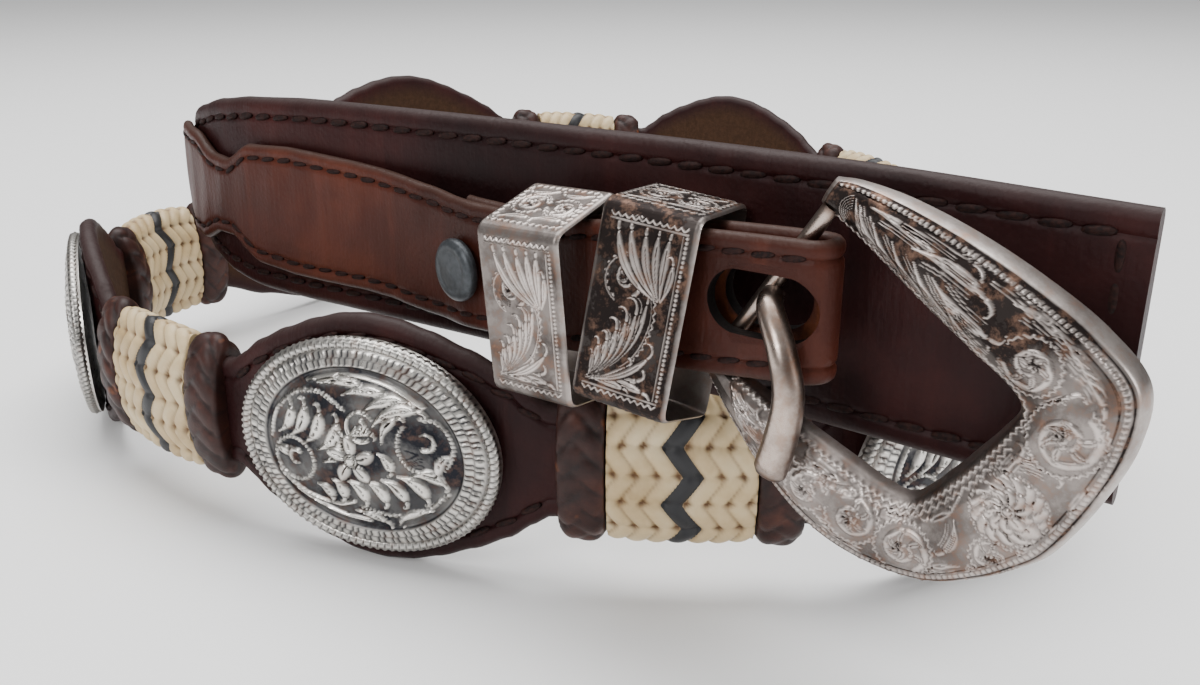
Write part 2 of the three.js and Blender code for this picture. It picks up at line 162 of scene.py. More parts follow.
# a grid of across by along cells, with each vertex's column and row
def addGrid(name, across, along):
    bpy.ops.object.select_all(action="DESELECT")
    bpy.ops.mesh.primitive_grid_add(x_subdivisions=across, y_subdivisions=along, size=2)
    piece = bpy.context.active_object
    piece.name = name
    piece.data.name = name
    flat = np.empty(len(piece.data.vertices) * 3)
    piece.data.vertices.foreach_get("co", flat)
    flat = flat.reshape(-1, 3)
    column = np.rint((flat[:, 0] + 1) / 2 * across).astype(int)
    row = np.rint((flat[:, 1] + 1) / 2 * along).astype(int)
    return piece, column, row


def placeMesh(piece, points):
    piece.data.vertices.foreach_set("co", ((points + shift) / 1000).astype(np.float32).ravel())
    piece.data.update()


def mark(piece, name, values):
    attribute = piece.data.attributes.new(name, "FLOAT", "POINT")
    values = np.broadcast_to(np.asarray(values, np.float32), len(piece.data.vertices))
    attribute.data.foreach_set("value", np.ascontiguousarray(values))


# joins the seam of a swept grid, closes its ends and turns its faces outwards
def closeShell(piece, angle=50):
    bpy.ops.object.mode_set(mode="EDIT")
    bpy.ops.mesh.select_all(action="SELECT")
    bpy.ops.mesh.remove_doubles(threshold=1e-6)
    bpy.ops.mesh.select_all(action="DESELECT")
    bpy.ops.mesh.select_non_manifold()
    bpy.ops.mesh.fill_holes(sides=0)
    bpy.ops.mesh.select_all(action="SELECT")
    bpy.ops.mesh.normals_make_consistent(inside=False)
    bpy.ops.object.mode_set(mode="OBJECT")
    bpy.ops.object.shade_smooth_by_angle(angle=radians(angle))


def finishPiece(piece, material, body, slotName, *nodes):
    piece.data.materials.clear()
    piece.data.materials.append(material)
    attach(piece, body)
    if nodes:
        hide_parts(*nodes)
    return piece


# materials
def setInputs(material, made, inputs):
    for key, value in inputs.items():
        if isinstance(value, bpy.types.NodeSocket):
            material.node_tree.links.new(value, made.inputs[key])
        else:
            made.inputs[key].default_value = value


def node(material, kind, inputs, **settings):
    made = material.node_tree.nodes.new(kind)
    for key, value in settings.items():
        setattr(made, key, value)
    setInputs(material, made, inputs)
    return made


def newMaterial(name):
    material = bpy.data.materials.new(name)
    material.use_nodes = True
    return material, node(material, "ShaderNodeTexCoord", {}).outputs["Object"]


def surface(material, inputs):
    setInputs(material, material.node_tree.nodes["Principled BSDF"], inputs)
    return material


def noise(material, where, scale, detail=4.0, roughness=0.55):
    return node(material, "ShaderNodeTexNoise",
                {"Vector": where, "Scale": scale, "Detail": detail, "Roughness": roughness}).outputs["Fac"]


def ramp(material, value, *stops):
    made = node(material, "ShaderNodeValToRGB", {"Fac": value})
    elements = made.color_ramp.elements
    while len(elements) < len(stops):
        elements.new(0.5)
    for element, (at, colour) in zip(elements, stops):
        element.position = at
        element.color = (*colour, 1) if isinstance(colour, tuple) else (colour, colour, colour, 1)
    return made.outputs["Color"]


def mixColour(material, factor, a, b):
    inputs = {6: a, 7: b}
    inputs = {key: (*value, 1) if isinstance(value, tuple) else value for key, value in inputs.items()}
    return node(material, "ShaderNodeMix", {0: factor, **inputs}, data_type="RGBA").outputs[2]


def maths(material, operation, a, b, clamp=False):
    return node(material, "ShaderNodeMath", {0: a, 1: b}, operation=operation, use_clamp=clamp).outputs[0]


def times(material, a, b):
    return maths(material, "MULTIPLY", a, b)


def attributeValue(material, name):
    return node(material, "ShaderNodeAttribute", {}, attribute_name=name).outputs["Fac"]


def bump(material, height, strength, distance, below=None):
    inputs = {"Height": height, "Strength": strength, "Distance": distance}
    if below is not None:
        inputs["Normal"] = below
    return node(material, "ShaderNodeBump", inputs).outputs["Normal"]


def leatherMaterial(name, dark, middle, light, edge, flesh, roughness=0.42):
    material, place = newMaterial(name)
    squeezed = times(material, attributeValue(material, "height"), 0.07)
    strip = node(material, "ShaderNodeCombineXYZ", {"X": attributeValue(material, "along"), "Y": squeezed})
    creases = noise(material, strip.outputs[0], 420.0, 5.0, 0.6)
    clouds = noise(material, place, 38.0, 5.0)
    pores = noise(material, place, 2300.0, 3.0, 0.7)
    colour = ramp(material, clouds, (0.3, dark), (0.52, middle), (0.72, light))
    colour = mixColour(material, times(material, pores, 0.35), colour, dark)
    wear = ramp(material, noise(material, strip.outputs[0], 160.0, 6.0), (0.56, 0.0), (0.68, 1.0))
    colour = mixColour(material, times(material, wear, 0.28), colour, light)
    # edge colour on the rounded edges: burnished leather with a painted highlight, lighter and greyer than
    # the face
    colour = mixColour(material, attributeValue(material, "edge"), colour, edge)
    back = attributeValue(material, "flesh")
    nap = noise(material, place, 900.0, 8.0, 0.7)
    suede = ramp(material, nap, (0.3, tuple(c * 0.5 for c in flesh)), (0.7, flesh))
    rough = maths(material, "ADD", roughness, times(material, clouds, 0.16))
    rough = maths(material, "ADD", rough, times(material, back, 0.35), True)
    grain = node(material, "ShaderNodeTexVoronoi", {"Vector": place, "Scale": 1500.0}, feature="SMOOTH_F1")
    relief = bump(material, grain.outputs["Distance"], 0.22, 0.00025)
    relief = bump(material, pores, 0.2, 0.0002, relief)
    relief = bump(material, creases, 0.35, 0.0006, relief)
    return surface(material, {"Base Color": mixColour(material, back, colour, suede), "Roughness": rough,
                              "Specular IOR Level": 0.17, "Normal": relief})


def threadMaterial():
    material, place = newMaterial("brown thread")
    twist = noise(material, place, 1800.0, 2.0)
    colour = ramp(material, twist, (0.35, (0.007, 0.0022, 0.002)), (0.65, (0.024, 0.0075, 0.0055)))
    return surface(material, {"Base Color": colour, "Roughness": 0.68, "Specular IOR Level": 0.18,
                              "Normal": bump(material, twist, 0.5, 0.0002)})


def rawhideMaterial():
    material, place = newMaterial("braided rawhide")
    clouds = noise(material, place, 120.0, 4.0)
    colour = ramp(material, clouds, (0.3, (0.43, 0.3, 0.145)), (0.5, (0.58, 0.44, 0.245)),
                  (0.75, (0.69, 0.565, 0.36)))
    stain = ramp(material, noise(material, place, 55.0, 5.0), (0.55, 0.0), (0.7, 1.0))
    colour = mixColour(material, times(material, stain, 0.4), colour, (0.44, 0.25, 0.07))
    # painted shade: the low parts of the braid and the seams between strands are darkened towards dark brown
    colour = mixColour(material, attributeValue(material, "creviceShade"), colour, (0.13, 0.058, 0.016))
    dye = ramp(material, attributeValue(material, "dye"), (0.46, 0.0), (0.54, 1.0))
    fibre = noise(material, place, 1600.0, 5.0, 0.65)
    return surface(material, {"Base Color": mixColour(material, dye, colour, (0.011, 0.011, 0.013)),
                              "Roughness": 0.5, "Subsurface Weight": 0.06,
                              "Subsurface Radius": (0.002, 0.0012, 0.0006),
                              "Normal": bump(material, fibre, 0.3, 0.0002)})


def laceMaterial():
    material, place = newMaterial("brown lace")
    creviceShade = attributeValue(material, "creviceShade")
    clouds = noise(material, place, 260.0, 5.0)
    colour = ramp(material, clouds, (0.3, (0.012, 0.004, 0.0032)), (0.55, (0.034, 0.0105, 0.0075)),
                  (0.8, (0.08, 0.024, 0.014)))
    # painted shade: the low parts of the lace and the seams between strands are darkened
    colour = mixColour(material, creviceShade, colour, (0.008, 0.004, 0.004))
    worn = ramp(material, noise(material, place, 190.0, 3.0), (0.63, 0.0), (0.72, 1.0))
    high = maths(material, "SUBTRACT", 1.0, creviceShade, True)
    worn = times(material, times(material, worn, high), 0.5)
    fibre = noise(material, place, 1900.0, 5.0)
    return surface(material, {"Base Color": mixColour(material, worn, colour, (0.26, 0.075, 0.02)),
                              "Roughness": 0.48, "Specular IOR Level": 0.3,
                              "Normal": bump(material, fibre, 0.25, 0.0002)})


def silverMaterial(name, bright, patinaAndShade, copper, roughness, stain, warmth):
    material, place = newMaterial(name)
    clouds = noise(material, place, 210.0, 6.0, 0.65)
    fine = noise(material, place, 1500.0, 5.0, 0.6)
    tarnish = times(material, ramp(material, clouds, (0.42, 0.0), (0.72, 1.0)), stain)
    # this attribute darkens towards the patina colour: real patina in cuts and hollows, plus painted shade
    # and painted reflection on the keepers, the buckle's upper arm and the rods
    cover = maths(material, "ADD", attributeValue(material, "patinaAndShade"), tarnish, True)
    warm = ramp(material, noise(material, place, 420.0, 6.0, 0.7), (0.5, 0.0), (0.72, 1.0))
    colour = mixColour(material, cover, bright, patinaAndShade)
    colour = mixColour(material, times(material, warm, warmth), colour, copper)
    rough = maths(material, "ADD", roughness, times(material, cover, 0.22))
    rough = maths(material, "ADD", rough, times(material, fine, 0.12), True)
    return surface(material, {"Base Color": colour, "Metallic": 1.0, "Roughness": rough,
                              "Normal": bump(material, fine, 0.12, 0.00015)})


def snapMaterial():
    material, place = newMaterial("blackened snap")
    fine = noise(material, place, 1200.0, 5.0)
    colour = ramp(material, fine, (0.3, (0.03, 0.034, 0.038)), (0.7, (0.075, 0.082, 0.09)))
    return surface(material, {"Base Color": colour, "Metallic": 0.55, "Roughness": 0.42,
                              "Normal": bump(material, fine, 0.1, 0.0001)})


# each leather: dark, middle and light colour, edge colour (burnish with a painted highlight), flesh side
strapLeather = leatherMaterial(
    "strap leather", (0.0085, 0.002, 0.0022), (0.024, 0.0048, 0.0048), (0.056, 0.0125, 0.0105),
    (0.036, 0.022, 0.021), (0.06, 0.029, 0.015))
billetLeather = leatherMaterial(
    "billet leather", (0.03, 0.0075, 0.0045), (0.066, 0.0155, 0.009), (0.13, 0.032, 0.016),
    (0.05, 0.026, 0.02), (0.2, 0.06, 0.022), 0.38)
cutLeather = leatherMaterial(
    "cut edge", (0.006, 0.005, 0.005), (0.014, 0.01, 0.009), (0.05, 0.02, 0.012),
    (0.02, 0.015, 0.014), (0.02, 0.015, 0.014), 0.5)
thread = threadMaterial()
rawhide = rawhideMaterial()
lace = laceMaterial()
# each silver: bright, patina and copper colour (the patina colour also serves as painted shade), then
# roughness, stain and warmth
conchoSilver = silverMaterial(
    "concho silver", (0.74, 0.71, 0.66), (0.02, 0.021, 0.026), (0.6, 0.32, 0.2), 0.19, 0.22, 0.16)
buckleSilver = silverMaterial(
    "buckle silver", (0.62, 0.55, 0.51), (0.022, 0.017, 0.016), (0.56, 0.32, 0.22), 0.22, 0.42, 0.36)
plainSilver = silverMaterial(
    "plain silver", (0.56, 0.46, 0.4), (0.05, 0.032, 0.026), (0.5, 0.27, 0.16), 0.16, 0.6, 0.3)
blackSnap = snapMaterial()
print("materials made")


# a leather section that runs round a strap: its rounded edges, its stitch groove and both faces
# each point has its side, its distance in from that edge, its share across and its offset outwards
def leatherSection(r, rounds, near, dip, topShares, backShares):
    profile = [(r * (1 - cos(a)), r * sin(a)) for a in np.linspace(-pi / 2, pi / 2, rounds)]
    profile += [(d, r - dip(d)) for d in near]
    points = [(-1, d, 0, n) for d, n in profile]
    points += [(0, 0, share, r) for share in topShares]
    points += [(1, d, 0, n) for d, n in reversed(profile)]
    points += [(0, 0, share, -r) for share in backShares]
    points.append(points[0])
    return [np.array([p[k] for p in points], float) for k in range(4)]


def acrossLeather(side, inset, share, half, lastIn):
    return np.where(side == 0, share * np.maximum(half - lastIn, 0.5), side * (half - inset))


def sweepStrap(name, start, stop, halfWidth):
    r, grooveIn = strap["thick"] / 2, strap["grooveIn"]
    near = [r + 0.5] + [grooveIn + d for d in (-0.9, -0.55, -0.28, 0, 0.28, 0.6, 1.1, 2.0)]

    def dip(d):
        return 0.42 * np.exp(-((d - grooveIn) / 0.4) ** 2) + 0.1 * np.exp(-((d - grooveIn - 1.2) / 0.9) ** 2)
    side, inset, share, outward = leatherSection(r, 9, near, dip, np.linspace(-1, 1, 12)[1:-1],
                                                 (1.0, 0.6, 0.2, -0.2, -0.6, -1.0))
    rows = max(8, int(round(stop - start)))
    piece, column, row = addGrid(name, len(side) - 1, rows)
    side, inset, share, n = side[column], inset[column], share[column], outward[column]
    s = start + (stop - start) * row / rows
    z = acrossLeather(side, inset, share, halfWidth(s), near[-1])
    wavy = 0.12 * np.sin(s * 0.21 + 1.3) * np.sin(z * 0.3) + 0.06 * np.sin(s * 0.83 + z * 0.4)
    placeMesh(piece, onStrap(s, n + wavy * np.clip((n - 0.8) / 0.8, 0, 1), z))
    mark(piece, "along", s / 1000)
    mark(piece, "height", z / 1000)
    # edge mask: the rounded edges, coloured as burnish with a painted highlight
    mark(piece, "edge", np.clip(1.15 - inset / 1.3, 0, 1) * (side != 0))
    mark(piece, "flesh", ((n < -r + 0.3) & (side == 0)) * 1.0)
    closeShell(piece)
    return piece


# one thread stitch, made once as a flattened ball and copied along a route
def stitchShape():
    bpy.ops.object.select_all(action="DESELECT")
    bpy.ops.mesh.primitive_uv_sphere_add(segments=8, ring_count=6, radius=1)
    ball = bpy.context.active_object
    points = np.array([v.co for v in ball.data.vertices])
    faces = [tuple(p.vertices) for p in ball.data.polygons]
    bpy.data.objects.remove(ball, do_unlink=True)
    points = points[:, [2, 0, 1]]
    points[:, 0] = np.sign(points[:, 0]) * np.abs(points[:, 0]) ** 0.75
    return points, faces


ballPoints, ballFaces = stitchShape()


def addCopies(name, centres, alongs, outs, sizes):
    points, faces = [], []
    for n, (centre, along, out) in enumerate(zip(centres, alongs, outs)):
        x, y = unit(along), unit(np.cross(out, along))
        z = np.cross(x, y)
        shape = ballPoints * sizes
        points.append(centre + shape[:, :1] * x + shape[:, 1:2] * y + shape[:, 2:] * z)
        faces += [tuple(v + n * len(ballPoints) for v in face) for face in ballFaces]
    mesh = bpy.data.meshes.new(name)
    world = (np.vstack(points) + shift) / 1000
    mesh.from_pydata(world.tolist(), [], faces)
    piece = bpy.data.objects.new(name, mesh)
    bpy.context.scene.collection.objects.link(piece)
    for polygon in mesh.polygons:
        polygon.use_smooth = True
    return piece


# stitches along a route on the strap's outer face
def stitchRoute(name, place, start, stop, style):
    samples = np.linspace(start, stop, 600)
    route = place(samples)
    distance = pathDistance(route)
    count = max(1, int(distance[-1] // style["pitch"]))
    middle = (np.arange(count) + 0.5) * distance[-1] / count
    s = np.interp(middle, distance, samples)
    before, centre, after = place(s - 0.4), place(s), place(s + 0.4)
    alongs = unit(after - before)
    outs = unit(np.cross(upward, alongs))
    facing = np.sum((onStrap(s, 9, 0) - onStrap(s, 0, 0)) * outs, axis=1) > 0
    outs = np.where(facing[:, None], outs, -outs)
    tilt = alongs + style["slant"] * np.cross(outs, alongs)
    sizes = np.array([style["length"] / 2, style["width"], style["proud"]])
    return addCopies(name, centre, tilt, outs, sizes)


def finishStitches(name, placeOn, start, stop, style, slotName):
    for side, edgeName in ((1, "Top"), (-1, "Bottom")):
        piece = stitchRoute(f"{name}Stitches{edgeName}", lambda s: placeOn(s, side), start, stop, style)
        finishPiece(piece, thread, "belt", slotName)


def strapStitches(name, start, stop, halfWidth):
    depth = strap["thick"] / 2 - 0.18

    def placeOn(s, side):
        return onStrap(s, depth, side * (halfWidth(s) - strap["grooveIn"]))
    finishStitches(name, placeOn, start, stop, strapStitch, "strap_leather")


def buckleEndHalf(s):
    return tableAt(buckleEndRows, s)


def tipHalf(s):
    return tableAt(tipEndRows, s - wrapAt[6])


def scallopHalf(i):
    def half(s):
        side = np.where(s < segmentAt[i], segmentAt[i] - wrapAt[i], wrapAt[i + 1] - segmentAt[i])
        return tableAt(scallopRows, np.abs(s - segmentAt[i]) / (side - ringReach))
    return half


# the gap between two pieces of strap, and the stitch line that turns down the squared end
gap = 0.2
squaredEnd = {"in": 3.4, "stitches": 6, "reach": 12.2, "sizes": (1.95, 0.6, 0.4)}
endStrap = sweepStrap("buckleEndStrap", 0, wrapAt[0] - gap, buckleEndHalf)
finishPiece(endStrap, strapLeather, "belt", "strap_leather", "strap_buckle_end")
strapStitches("end", 3.6, wrapAt[0] - ringReach - 1, buckleEndHalf)


def squaredEndPlace(z, n=strap["thick"] / 2 - 0.1):
    return onStrap(np.full_like(z, squaredEnd["in"]), n, z)


def addSquaredEndStitches():
    z = np.linspace(-squaredEnd["reach"], squaredEnd["reach"], squaredEnd["stitches"])
    centre = squaredEndPlace(z)
    alongs = squaredEndPlace(z + 1) - centre
    outs = unit(squaredEndPlace(z, 9) - squaredEndPlace(z, 0))
    piece = addCopies("endStitchesSide", centre, alongs, outs, np.array(squaredEnd["sizes"]))
    finishPiece(piece, thread, "belt", "strap_leather")


addSquaredEndStitches()
for i in range(6):
    half = scallopHalf(i)
    piece = sweepStrap(f"scallop{i + 1}", wrapAt[i] + gap, wrapAt[i + 1] - gap, half)
    finishPiece(piece, strapLeather, "belt", "strap_leather", f"scallop_{i + 1}")
    strapStitches(f"scallop{i + 1}", wrapAt[i] + ringReach + 2, wrapAt[i + 1] - ringReach - 2, half)
tipStrap = sweepStrap("tipStrap", wrapAt[6] + gap, strapLength, tipHalf)
finishPiece(tipStrap, strapLeather, "belt", "strap_leather", "strap_tip_end")
strapStitches("tip", wrapAt[6] + ringReach + 4, strapLength - 6, tipHalf)
print("strap made")


# braids: the height of interlaced strands at x along and y round a sleeve
def strands(x, y, pitchY, style):
    pitchX, slope, byRows = style["pitchX"], style["slope"], style["alternate"] == "rows"
    column0, row0 = np.floor(x / pitchX), np.floor(y / pitchY)

    # which way the strands lean, and how far each column is shifted
    def weaveAt(c, r):
        even = (r if byRows else c) % 2 == 0
        return np.where(even, 1.0, -1.0), (0.0 if byRows else np.where(even, 0.5, 0.0) * pitchY)
    best = np.full(x.shape, -1.0)
    for dc in (-2, -1, 0, 1, 2):
        for dr in (-1, 0, 1):
            c, r = column0 + dc, row0 + dr
            lean, stagger = weaveAt(c, r)
            dx, dy = x - (c + 0.5) * pitchX, y - ((r + 0.5) * pitchY + stagger)
            e = (dx * lean * slope + dy) / np.hypot(slope, 1) / style["halfLong"]
            w = (dx - dy * lean * slope) / np.hypot(slope, 1) / style["halfWide"]
            body = np.clip(1 - w * w, 0, 1) ** 0.45 * np.clip(1 - np.abs(e) ** 3, 0, 1) ** 0.6 + 0.2 * e
            best = np.maximum(best, np.where((np.abs(e) < 1) & (np.abs(w) < 1), body, -1))
    # the seams between neighbouring strands, and how far inside the dyed strand a point is
    lean, stagger = weaveAt(column0, row0)
    if byRows:
        u = (x - (y - (row0 + 0.5) * pitchY) * lean * slope) / pitchX
        seamAway = np.abs(u - np.rint(u)) * pitchX
        dye = np.clip(0.5 + (0.5 - np.abs(u - style["dyed"] - 0.5)) * pitchX * 1.5, 0, 1)
    else:
        u = (y - stagger - (x - (column0 + 0.5) * pitchX) * lean / slope) / pitchY
        seamAway = np.abs(u - np.rint(u)) * pitchY * 0.7
        dye = np.zeros(x.shape)
    return np.clip(best, 0, 1.2), np.clip(1 - seamAway / 0.5, 0, 1), dye


def ovalTable(halfDepth, halfHeight):
    angle = np.linspace(0, tau, 2001)
    return angle, pathDistance(np.stack([halfDepth * np.cos(angle), halfHeight * np.sin(angle)], axis=1))


def braidedSleeve(name, middle, size, style):
    around, along = style["cells"]
    angles, lengths = ovalTable(size["halfDepth"], size["halfHeight"])
    total = lengths[-1]
    piece, column, row = addGrid(name, around, along + 4)
    place = total * column / around
    angle = np.interp(place, lengths, angles)
    share = np.clip((row - 2) / along, 0, 1)
    x = (share - 0.5) * size["length"]
    shape, meeting, dye = strands(x + size["length"] / 2, place, total / style["rows"], style)
    normalN, normalZ = size["halfHeight"] * np.cos(angle), size["halfDepth"] * np.sin(angle)
    norm = np.hypot(normalN, normalZ)
    shrink = 1 - style["rounding"] * np.abs(2 * share - 1) ** 4
    # the first two and last two rows turn in to close the ends
    fromEnd = np.minimum(row, along + 4 - row)
    inner = np.interp(fromEnd, [0, 1, 2], [0.42, 0.8, 1.0])
    lift = size["relief"] * (shape - 0.75) * (fromEnd > 1)
    n = size["halfDepth"] * np.cos(angle) * shrink * inner + lift * normalN / norm
    z = size["halfHeight"] * np.sin(angle) * shrink * (0.5 + inner * 0.5) + lift * normalZ / norm
    placeMesh(piece, onStrap(middle + x, n, z))
    # painted shade mask: the low parts of the braid and the seams between strands
    mark(piece, "creviceShade", np.maximum(np.clip((0.62 - shape) / 0.5, 0, 1), style["seam"] * meeting ** 1.5))
    mark(piece, "dye", dye)
    closeShell(piece, 80)
    return piece


# strand: half sizes along and across; cells are counted round and along the sleeve; seam sets how much
# painted shade goes into the seams between strands
wrapStyle = {"pitchX": wrap["length"] / 7, "slope": 0.66, "alternate": "rows", "halfLong": 3.2,
             "halfWide": 1.42, "rows": 12, "cells": (200, 58), "rounding": 0.05, "seam": 0.5, "dyed": 3}
ringStyle = {"pitchX": ring["length"] / 2, "slope": 1.0, "alternate": "columns", "halfLong": 3.5,
             "halfWide": 2.0, "rows": 12, "cells": (144, 20), "rounding": 0.12, "seam": 0.85}
for i, middle in enumerate(wrapAt):
    piece = braidedSleeve(f"rawhideWrap{i + 1}", middle, wrap, wrapStyle)
    finishPiece(piece, rawhide, "belt", "rawhide", f"rawhide_wrap_{i + 1}")
    for side, tag in ((-1, "a"), (1, "b")):
        piece = braidedSleeve(f"braidRing{i + 1}{tag}", middle + side * ring["offset"], ring, ringStyle)
        finishPiece(piece, lace, "belt", "ring_leather", f"braid_ring_{i + 1}{tag}")
print("wraps and rings made")


# a smooth curve through rows of numbers at t from 0 to 1, or its slope
def smoothRows(rows, t, slope=False):
    points = np.array(rows, float)
    ends = withEnds(points)
    at = np.clip(t, 0, 1) * (len(points) - 1)
    index = np.minimum(at.astype(int), len(points) - 2)
    f = (at - index)[:, None]
    a, b, c, d = (ends[index + k] for k in range(4))
    square, cube = 2 * a - 5 * b + 4 * c - d, 3 * b - a - 3 * c + d
    if slope:
        return 0.5 * ((c - a) + 2 * square * f + 3 * cube * f ** 2)
    return 0.5 * (2 * b + (c - a) * f + square * f ** 2 + cube * f ** 3)


# engraving: every stroke is a path with a half width and a lift, raised or cut
def stroke(path, half, lift):
    path = np.atleast_2d(np.asarray(path, float))
    return {"path": path, "half": np.broadcast_to(np.asarray(half, float), len(path)), "lift": lift}


def engrave(x, y, strokes):
    raised = np.zeros(x.shape)
    cut = np.zeros(x.shape)
    for drawn in strokes:
        path, half = drawn["path"], drawn["half"]
        most = half.max()
        margin = most + (0.16 if drawn["lift"] > 0 else 0)
        low, high = path.min(axis=0) - margin, path.max(axis=0) + margin
        inside = np.flatnonzero((x > low[0]) & (x < high[0]) & (y > low[1]) & (y < high[1]))
        if not len(inside):
            continue
        px, py = x[inside], y[inside]
        best = np.full(px.shape, 9.0)
        starts, ends = (path[:-1], path[1:]) if len(path) > 1 else (path, path)
        for k, (a, b) in enumerate(zip(starts, ends)):
            dx, dy = b - a
            size = dx * dx + dy * dy
            t = np.clip(((px - a[0]) * dx + (py - a[1]) * dy) / max(size, 1e-12), 0, 1)
            wide = half[k] + (half[min(k + 1, len(half) - 1)] - half[k]) * t
            away = np.hypot(px - a[0] - t * dx, py - a[1] - t * dy) / np.maximum(wide, 1e-3)
            best = np.minimum(best, away)
        amount = np.clip(1 - best, 0, 1)
        if drawn["lift"] > 0:
            # a later stroke lies over the earlier ones, with a dark line round it
            body = drawn["lift"] * np.sqrt(1 - np.clip(best, 0, 1) ** 2)
            outline = (best >= 1) & (best < margin / most)
            raised[inside] = np.where(best < 1, np.maximum(body, 0.55 * drawn["lift"] * (best < 0.8)),
                                      np.where(outline, raised[inside] * 0.2, raised[inside]))
            cut[inside] = np.where(best < 1, 0, cut[inside])
        else:
            cut[inside] = np.minimum(cut[inside], drawn["lift"] * np.minimum(1, amount * 1.6))
    return raised, cut


def curl(x, y, angle, length, bend, points=14):
    t = np.linspace(0, 1, points)
    heading = angle + bend * t ** 1.4
    step = length / (points - 1)
    px = x + np.concatenate([[0], np.cumsum(np.cos(heading[:-1]) * step)])
    py = y + np.concatenate([[0], np.cumsum(np.sin(heading[:-1]) * step)])
    return np.stack([px, py], axis=1)


# a leaf: a body that swells towards its tip, a cut vein, and a curled hook at its tip
def leaf(x, y, angle, length, bend, width, lift):
    path = curl(x, y, angle, length, bend)
    t = np.linspace(0, 1, len(path))
    half = width * (0.18 + 0.82 * np.sin(pi * t ** 1.5) ** 0.8) * (1 - 0.3 * t)
    made = [stroke(path, half, lift)]
    made.append(stroke(path[2:-3], 0.13, -lift * 0.9))
    hook = curl(path[-1][0], path[-1][1], angle + bend, length * 0.22, np.sign(bend) * 2.2, 7)
    made.append(stroke(hook, np.linspace(width * 0.5, 0.12, 7), lift))
    return made


def ringPath(x, y, radius, start=0.0, sweep=tau, count=48):
    t = np.linspace(start, start + sweep, count)
    return np.stack([x + radius * np.cos(t), y + radius * np.sin(t)], axis=1)


def roundPath(points, count=40):
    return smoothRows(points, np.linspace(0, 1, count))


def bowedPath(x0, y0, x1, y1, bow):
    t = np.linspace(0, 1, 12)[:, None]
    start, stop = np.array([x0, y0]), np.array([x1, y1])
    control = (start + stop) / 2 + bow * np.array([y0 - y1, x1 - x0])
    return (1 - t) ** 2 * start + 2 * t * (1 - t) * control + t * t * stop, atan2(*(stop - control)[::-1])


# a plume: a leaf bowed between two points, swelling towards a curled tip
def plume(x0, y0, x1, y1, bow, width, lift):
    path, heading = bowedPath(x0, y0, x1, y1, bow)
    half = 0.1 + width * np.sin(pi * np.linspace(0, 1, 12) ** 1.5) ** 0.9
    hook = curl(x1, y1, heading, np.hypot(x1 - x0, y1 - y0) * 0.26, -np.sign(bow) * 2.6, 7)
    return [stroke(path, half, lift), stroke(path[3:-2], 0.09, -lift * 0.9),
            stroke(hook, np.linspace(0.34, 0.14, 7) * min(1.0, width * 1.6), lift)]


# a long plume with fine lines beside its vein
def longPlume(x0, y0, x1, y1, bow, width, lift):
    made = plume(x0, y0, x1, y1, bow, width, lift)
    path = bowedPath(x0, y0, x1, y1, bow)[0]
    across = np.array([y0 - y1, x1 - x0]) / np.hypot(x1 - x0, y1 - y0) * width
    made += [stroke(path[4:-1] + across * 0.45 * side, 0.07, -lift * 0.8) for side in (-1, 1)]
    made += [stroke(path[2:-2] + across * away * np.sign(-bow), 0.08, lift * 0.7) for away in (1.5, 2.1)]
    return made


def zigzag(path, pitch, amplitude, half, lift):
    path = np.asarray(path, float)
    distance = pathDistance(path)
    count = max(2, int(distance[-1] / pitch))
    at = np.linspace(0, distance[-1], count + 1)
    px, py = np.interp(at, distance, path[:, 0]), np.interp(at, distance, path[:, 1])
    tx, ty = np.gradient(px), np.gradient(py)
    size = np.hypot(tx, ty)
    sway = amplitude * np.where(np.arange(count + 1) % 2 == 0, 1, -1)
    return stroke(np.stack([px - ty / size * sway, py + tx / size * sway], axis=1), half, lift)


def beads(path, pitch, radius, lift):
    path = np.asarray(path, float)
    distance = pathDistance(path)
    spots = np.arange(pitch / 2, distance[-1], pitch)
    return [stroke([[np.interp(s, distance, path[:, k]) for k in (0, 1)]], radius, lift) for s in spots]


# a scroll: a stem that winds in, leaves that spring from it, arcs in its eye and a wriggled rim
def scroll(x, y, radius, start, turns, lift, leaves, rim=True):
    way = 1 if turns > 0 else -1
    t = np.linspace(0, 1, 46)
    r, a = radius * 0.86 * (1 - 0.72 * t), start + tau * turns * t
    stem = np.stack([x + r * np.cos(a), y + r * np.sin(a)], axis=1)
    made = [stroke(stem, np.linspace(radius * 0.13, radius * 0.07, len(stem)), lift)]
    for k in range(leaves):
        spot = int((0.08 + 0.72 * k / leaves) * (len(stem) - 2))
        inward = atan2(*(stem[spot + 1] - stem[spot])[::-1]) + way * 0.75
        made += leaf(*stem[spot], inward, radius * 0.52, way * 1.5, radius * 0.13, lift)
    for k in range(5):
        arcPath = ringPath(x, y, radius * (0.1 + 0.055 * k), start + 2.6, way * 2.3, 10)
        made.append(stroke(arcPath, 0.09, -lift * 0.7))
    if rim:
        rimPath = ringPath(x, y, radius, start - way * 0.2, way * 5.6, 60)
        made.append(zigzag(rimPath, 0.42, 0.17, 0.12, lift * 0.9))
    return made


def flower(x, y, radius, petals, lift):
    made = []
    for k in range(petals):
        a = tau * k / petals + 0.3
        dx, dy = cos(a) * radius, sin(a) * radius
        made.append(stroke(curl(x + dx * 0.3, y + dy * 0.3, a, radius * 0.7, 0.5, 8),
                           radius * np.array([0.12, 0.2, 0.26, 0.3, 0.3, 0.26, 0.2, 0.1]), lift))
        made.append(stroke(curl(x + dx * 0.35, y + dy * 0.35, a, radius * 0.45, 0.4, 6), 0.12, -lift * 0.8))
    made.append(stroke([(x, y)], radius * 0.3, lift * 1.5))
    made.append(stroke(ringPath(x, y, radius * 0.2, count=25), 0.1, -lift))
    return made


